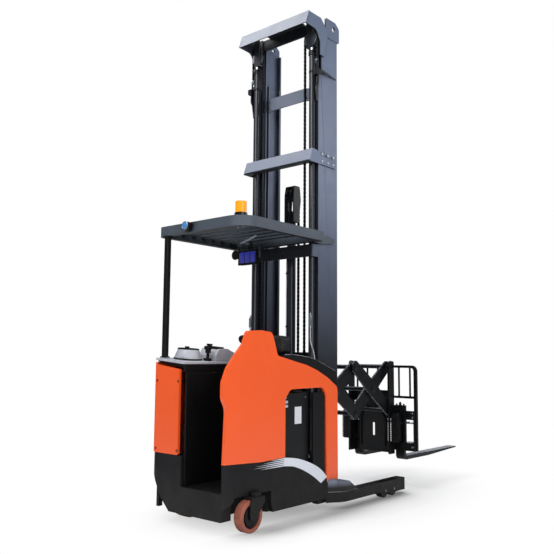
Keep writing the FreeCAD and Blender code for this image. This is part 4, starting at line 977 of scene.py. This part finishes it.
class TRUCK_OT_guard_fittings(bpy.types.Operator):
    """Lamps, horn, cable pipe and bolts of the overhead guard"""
    bl_idname = "truck.guard_fittings"
    bl_label = "Guard Fittings"

    def execute(self, context):
        deselect()
        bpy.ops.mesh.primitive_torus_add(major_segments=40, minor_segments=10, major_radius=32 * MM,
                                         minor_radius=4.5 * MM, location=at(9, *SPOT_LAMP),
                                         rotation=(0, math.pi / 2, 0))
        settle(bpy.context.object, "spot_lamp_rim", "zinc", "truck")
        settle(bar((4, *SPOT_LAMP), (12, *SPOT_LAMP), 29, 3, 40), "spot_lamp_lens", "spot", "truck")
        cells = [block((873, y, 2186), (882, y + 62, 2290), 5) for y in (95, 165, 235)]
        settle(merged(cells), "work_lamp_lens", "window", "truck")
        rim = [block((871, 86, 2168), (884, 306, 2180), 3), block((871, 86, 2296), (884, 306, 2308), 3),
               block((871, 82, 2168), (884, 92, 2308), 3), block((871, 300, 2168), (884, 310, 2308), 3)]
        settle(merged(rim), "work_lamp_frame", "interior", "truck")
        fins = [block((924, y, 2180), (938, y + 5, 2296), 1) for y in range(100, 296, 16)]
        settle(merged(fins), "work_lamp_fins", "interior", "truck")
        stay = [block((892, 320, 2240), (912, 330, 2350), 2), block((892, 300, 2232), (912, 332, 2242), 2),
                block((892, 62, 2240), (912, 72, 2350), 2), block((892, 62, 2232), (912, 90, 2242), 2)]
        settle(merged(stay), "work_lamp_stays", "guard", "truck")
        horn = merged([bar((878, 356, 2272), (890, 356, 2272), 46, 4, 36),
                       bar((890, 356, 2272), (922, 356, 2272), 34, 5, 36)])
        settle(horn, "horn", "interior", "truck")
        line = pipe([(760, 70, 2338), (680, 72, 2334), (640, 60, 2322), (560, -60, 2318), (500, -200, 2322),
                     (480, -280, 2338)], 8)
        settle(line, "guard_cable_pipe", "zinc", "truck")
        spots = [((x, y, 2430), (0, 0, 0)) for x in (1015, 1065) for y in (-395, -345, 345, 395)]
        settle(copies(hexagon(19, 9), spots), "guard_bolts", "zinc", "truck")
        spots = [((150, y, 2345), (180, 0, 0)) for y in (-440, -384)]
        settle(copies(hexagon(10, 6), spots), "beacon_bolts", "zinc", "truck")
        feet = [block((58, 360, z), (120, 422, z + 10), 3) for z in (1312, 2335)]
        settle(merged(feet), "guard_post_feet", "interior", "truck")
        return {"FINISHED"}


# ------------------------------------------------------------------ operator's place
CONSOLE_SLOPE = math.atan2(30, 350)              # the console lid rises to the left
CONSOLE_EDGE = (70, 1288)                        # y and z of the lid's low edge
TILLER_FOOT = 118                                # radius of the steering tiller's foot
UPRIGHT = 0.9                                    # a face with more than this of its normal along z is level


def on_console(x, y, z):
    """A point over the sloped console lid: z above the lid, y across it, in millimetres."""
    cosine, sine = math.cos(CONSOLE_SLOPE), math.sin(CONSOLE_SLOPE)
    edge, high = CONSOLE_EDGE
    return (x, edge + (y - edge) * cosine - z * sine, high + (y - edge) * sine + z * cosine)


class TRUCK_OT_console_fittings(bpy.types.Operator):
    """Steering tiller, knobs, keys, display and mat of the operator's place"""
    bl_idname = "truck.console_fittings"
    bl_label = "Console Fittings"

    def execute(self, context):
        tilt = (CONSOLE_SLOPE, 0, 0)
        tilt_degrees = (math.degrees(CONSOLE_SLOPE), 0, 0)
        deselect()
        bpy.ops.mesh.primitive_cone_add(vertices=64, radius1=TILLER_FOOT * MM, radius2=88 * MM, depth=84 * MM,
                                        location=at(222, 249, 1346), rotation=tilt)
        drum = context.object
        bpy.ops.object.mode_set(mode="EDIT")
        bpy.ops.mesh.select_all(action="DESELECT")
        bpy.ops.object.mode_set(mode="OBJECT")
        for face in drum.data.polygons:
            face.select = face.normal.z > UPRIGHT
        # the top is let down into a dish inside a rim
        bpy.ops.object.mode_set(mode="EDIT")
        bpy.ops.mesh.inset(thickness=16 * MM)
        bpy.ops.transform.translate(value=(0, 0, -16 * MM))
        bpy.ops.mesh.inset(thickness=3 * MM)
        bpy.ops.object.mode_set(mode="OBJECT")
        rim = drum.modifiers.new("rim", "BEVEL")
        rim.width = 5 * MM
        rim.segments = 3
        rim.limit_method = "ANGLE"
        bpy.ops.object.modifier_apply(modifier="rim")
        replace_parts(settle(drum, "tiller_drum", "console", "truck"), "steering_tiller")
        dish = bar((222, 248, 1371), (222, 247, 1376), 64, 1.5, 48)
        settle(dish, "tiller_dish", "interior", "truck")
        deselect()
        bpy.ops.mesh.primitive_torus_add(major_segments=64, minor_segments=10, major_radius=TILLER_FOOT * MM,
                                         minor_radius=5 * MM, location=at(222, 251, 1306), rotation=tilt)
        settle(context.object, "tiller_lip", "interior", "truck")
        deselect()
        bpy.ops.mesh.primitive_torus_add(major_segments=64, minor_segments=10, major_radius=86 * MM,
                                         minor_radius=6 * MM, location=at(222, 247.5, 1386), rotation=tilt)
        settle(context.object, "tiller_rim", "interior", "truck")
        spoon = merged([bar((176, 214, 1374), (176, 213, 1408), 19, 8, 28),
                        block((168, 206, 1372), (276, 232, 1382), 4, (5, 0, 0))])
        settle(spoon, "tiller_grip", "interior", "truck")
        ribs = [bar(on_console(x, 96, 25), on_console(x, 220, 25), 0.9, 0.3, 6) for x in range(80, 116, 4)]
        settle(merged(ribs), "lid_grip_ribs", "console", "truck")
        display = block(on_console(424, 118, 96), on_console(508, 268, 106), 4, tilt_degrees)
        settle(display, "display", "interior", "truck")
        keys = []
        for row in range(2):
            for column in range(4):
                x, y = 556 + row * 34, 130 + column * 36
                keys.append(bar(on_console(x, y, 64 - row * 12), on_console(x, y, 90 - row * 14), 9, 2, 18))
        settle(merged(keys), "pod_keys", "interior", "truck")
        switch = merged([bar(on_console(470, 262, 60), on_console(470, 262, 122), 22, 4, 30),
                         bar(on_console(470, 262, 120), on_console(470, 262, 130), 28, 5, 30)])
        settle(switch, "stop_switch", "interior", "truck")
        crown = bar((330, 124, 1382), (330, 123, 1412), 32, 9, 30)
        settle(crown, "handle_crown", "interior", "truck")
        mat = block((44, -340, 306), (600, 30, 312), 3)
        treads = [block((60, y, 311), (584, y + 8, 315), 1.5) for y in range(-326, 16, 22)]
        settle(merged([mat] + treads), "floor_mat", "rubber", "truck")
        spots = [((0, y, z), (0, -90, 0)) for y in (116, 372) for z in (578, 1125)]
        settle(copies(hexagon(13, 5, 20), spots), "rear_panel_screws", "screw", "truck")
        knob = merged([bar((672, 62, 1472), (700, 62, 1480), 36, 10, 32),
                       bar((698, 62, 1478), (716, 62, 1440), 9, 2, 16),
                       bar((716, 62, 1446), (722, 62, 1330), 9, 2, 16)])
        settle(knob, "grab_knob", "interior", "truck")
        return {"FINISHED"}


def swell(item, cap_mm):
    """Puff a closed pad with a short pressure run that holds every point near where it began."""
    frames = 16
    start = [v.co.copy() for v in item.data.vertices]
    pick(item)
    cloth = item.modifiers.new("cloth", "CLOTH")
    cloth.settings.use_pressure = True
    cloth.settings.uniform_pressure_force = 4
    cloth.settings.effector_weights.gravity = 0
    cloth.point_cache.frame_end = frames
    for frame in range(1, frames + 1):
        bpy.context.scene.frame_set(frame)
    bpy.ops.object.modifier_apply(modifier="cloth")
    bpy.context.scene.frame_set(1)
    for vertex, first in zip(item.data.vertices, start):
        move = vertex.co - first
        if move.length > cap_mm * MM:
            vertex.co = first + move.normalized() * cap_mm * MM


class TRUCK_OT_pad(bpy.types.Operator):
    """Stuffed back pad with piped edges"""
    bl_idname = "truck.pad"
    bl_label = "Back Pad"

    def execute(self, context):
        low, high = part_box("back_pad")
        # room for the cover to swell inside the construction piece's faces
        inset = Vector((9, 9, 9)) * MM
        a, b = low + inset, high - inset
        deselect()
        bpy.ops.mesh.primitive_cube_add(size=1, location=(a + b) / 2)
        item = bpy.context.object
        item.dimensions = b - a
        bpy.ops.object.transform_apply(location=True, rotation=True, scale=True)
        round_edges(26, 4)
        bpy.ops.object.mode_set(mode="EDIT")
        bpy.ops.mesh.select_all(action="SELECT")
        bpy.ops.mesh.subdivide(number_cuts=3)
        bpy.ops.object.mode_set(mode="OBJECT")
        item.data.remesh_voxel_size = 5 * MM
        bpy.ops.object.voxel_remesh()
        swell(item, 8)
        smooth = item.modifiers.new("smooth", "SMOOTH")
        smooth.iterations = 4
        bpy.ops.object.modifier_apply(modifier="smooth")
        pad = settle(item, "back_pad_cover", "pad", "truck", 80)
        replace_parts(pad, "back_pad")
        # piping round the pad's rear and front faces, its ends overlapping
        for name, x in (("rear", 702), ("front", 828)):
            seam = [(x, -376, 1380), (x, -376, 1476), (x, -352, 1500), (x, -212, 1500), (x, -187, 1476),
                    (x, -187, 1380), (x, -212, 1355), (x, -352, 1355), (x, -376, 1380), (x, -376, 1400)]
            settle(pipe(seam, 2.6), "back_pad_piping_" + name, "pad", "truck")
        return {"FINISHED"}


# ------------------------------------------------------------------ bodywork
FILM_Y = -430.4                                  # films on the skirt's right side
HOOD_HIGHLIGHT_Y = 421                                # painted highlight on the hood's long edges: its distance from the middle plane
HOOD_HIGHLIGHT_LINE = ((690, 1343), (787, 1346), (905, 1338), (1029, 1323), (1112, 1304), (1260, 1253), (1400, 1204))
STREAK_PITCH = 14                                # the brushed streaks behind the stripe, from foot to foot
STREAKS = (290, 370, 340, 260, 170)              # their lengths, from the lowest up


class TRUCK_OT_bodywork(bpy.types.Operator):
    """Stripe, seams, blank plate, battery fittings and painted highlights along the hood's edges"""
    bl_idname = "truck.bodywork"
    bl_label = "Bodywork"

    def execute(self, context):
        upper = smooth_line([(677, 509), (864, 481), (1059, 418), (1181, 355), (1265, 285)])
        lower = smooth_line([(1178, 243), (1090, 300), (1007, 345), (916, 386), (802, 424), (678, 440)])
        band = sheet_cut(upper + lower, FILM_Y)
        settle(band, "skirt_stripe", "stripe", "truck")
        streaks = []
        for count, long in enumerate(STREAKS):
            low = 440 + count * STREAK_PITCH
            outline = [(680, low + 10), (680 - long * 0.6, low + 6), (680 - long, low + 4),
                       (680 - long * 0.6, low + 2), (680, low)]
            streaks.append(sheet_cut(outline, FILM_Y))
        settle(merged(streaks), "skirt_stripe_streaks", "stripe", "truck")
        for name, side in SIDES:
            seam = [(1276, 432 * side, 151), (1354, 484.5 * side, 151), (1402, 516 * side, 151),
                    (1460, 516.8 * side, 151), (1608, 516.8 * side, 151)]
            settle(pipe(seam, 2.2), name + "_leg_cover_seam", "zinc", "truck")
            # a thin zinc pipe along each long edge of the hood paints the highlight on its crest
            highlight_line = [(x, HOOD_HIGHLIGHT_Y * side, z) for x, z in HOOD_HIGHLIGHT_LINE]
            settle(pipe(highlight_line, 2.6), name + "_hood_highlight_line", "zinc", "truck")
        plate = sheet_cut([(872, 762), (962, 762), (962, 905), (872, 905)], -382.8, 1.2)
        settle(plate, "blank_plate", "label", "truck")
        posts = [bar((x, -383, 985), (x, -376, 985), 9, 2, 20) for x in (760, 1020)]
        settle(merged(posts), "battery_eyes", "steel", "truck")
        plugs = [block((724, -394, z), (772, -381, z + 22), 4) for z in (905, 940)]
        settle(merged(plugs), "battery_plugs", "console", "truck")
        return {"FINISHED"}


# ------------------------------------------------------------------ reach and forks
# pins of the pantograph that its caps close: body, x and z
CAPPED_PINS = (("rear_outer_links", 1700, 1003), ("rear_outer_links", 2010, 775),
               ("rear_inner_links", 2010, 1231), ("front_inner_links", 2320, 1003))
CAP_Y = 236                                      # a cap's foot, from the middle plane
SHIFT_ROD = (2700, 655)                          # x and z of the side shift's rod
HOSE_RIB_PITCH = 19


class TRUCK_OT_reach_fittings(bpy.types.Operator):
    """Pin caps, shift rod sleeves, bolts and valve fittings of the reach and forks"""
    bl_idname = "truck.reach_fittings"
    bl_label = "Reach Fittings"

    def execute(self, context):
        for count, (body, x, z) in enumerate(CAPPED_PINS):
            discs = []
            for side in (-1, 1):
                discs.append(bar((x, side * CAP_Y, z), (x, side * (CAP_Y + 3.4), z), 40, 1.2, 36))
                discs.append(bar((x, side * CAP_Y, z), (x, side * (CAP_Y + 4.6), z), 17, 1.4, 6))
            settle(merged(discs), "pin_caps_%d" % count, "linkage", body)
        x, z = SHIFT_ROD
        for name, low, high in (("right", -476, -352), ("left", 176, 296)):
            sleeve = bar((x, low, z), (x, high, z), 11.7, 0.5, 32)
            settle(sleeve, name + "_shift_rod_sleeve", "chrome", "side_shift_carriage")
        # outside the front frame over the whole side shift
        spots = [((2692, y, z), (0, -90, 0)) for y in (-466, 288) for z in (408, 708, 752)]
        settle(copies(hexagon(19, 9), spots), "carriage_bolts", "zinc", "side_shift_carriage")
        stack = [bar((2707, y, 830), (2707, y, 846), 10, 2, 6) for y in (-360, -275)]
        stack.append(bar((2707, -317, 830), (2707, -317, 858), 14, 3, 20))
        stack.append(bar((2707, -317, 858), (2707, -317, 866), 6, 2, 12))
        settle(merged(stack), "valve_fittings", "linkage", "side_shift_carriage")
        for name, side in SIDES:
            shell = block((2604, 262 * side, 452), (2668, 350 * side, 752), 10)
            rings = [block((2598, 262 * side, z), (2674, 356 * side, z + 9), 4)
                     for z in range(470, 736, HOSE_RIB_PITCH)]
            settle(merged([shell] + rings), name + "_hose_guard", "hose", "front_frame")
        bolts = [((2686, y, z), (0, 90, 0)) for y in (-150, 150) for z in (382, 920)]
        settle(copies(hexagon(16, 5), bolts), "frame_bolts", "zinc", "front_frame")
        for name, side in SIDES:
            line = pipe([(2664, 150 * side, 400), (2660, 150 * side, 560), (2660, 156 * side, 620),
                         (2664, 150 * side, 700), (2668, 120 * side, 740)], 7)
            settle(line, name + "_frame_pipe", "hose", "front_frame")
        return {"FINISHED"}


class TRUCK_PT_panel(bpy.types.Panel):
    """Colours, view and steps in the sidebar"""
    bl_label = "Reach Truck"
    bl_idname = "TRUCK_PT_panel"
    bl_space_type = "VIEW_3D"
    bl_region_type = "UI"
    bl_category = "Reach Truck"

    def draw(self, context):
        for group in (context.scene.truck_colours, context.scene.truck_view):
            for name in type(group).__annotations__:
                self.layout.prop(group, name)
        for step in STEPS:
            self.layout.operator(step.bl_idname)


STEPS = [TRUCK_OT_stage, TRUCK_OT_finishes, TRUCK_OT_chains, TRUCK_OT_mast_fittings, TRUCK_OT_guard_fittings,
         TRUCK_OT_console_fittings, TRUCK_OT_pad, TRUCK_OT_bodywork, TRUCK_OT_reach_fittings]
GROUPS = [TruckColours, TruckView]


def register():
    for item in GROUPS + STEPS + [TRUCK_PT_panel]:
        bpy.utils.register_class(item)
    bpy.types.Scene.truck_colours = bpy.props.PointerProperty(type=TruckColours)
    bpy.types.Scene.truck_view = bpy.props.PointerProperty(type=TruckView)


def unregister():
    del bpy.types.Scene.truck_colours
    del bpy.types.Scene.truck_view
    for item in reversed(GROUPS + STEPS + [TRUCK_PT_panel]):
        bpy.utils.unregister_class(item)


def main():
    register()
    for step in STEPS:
        group, name = step.bl_idname.split(".")
        getattr(getattr(bpy.ops, group), name)()


if __name__ == "__main__":
    main()
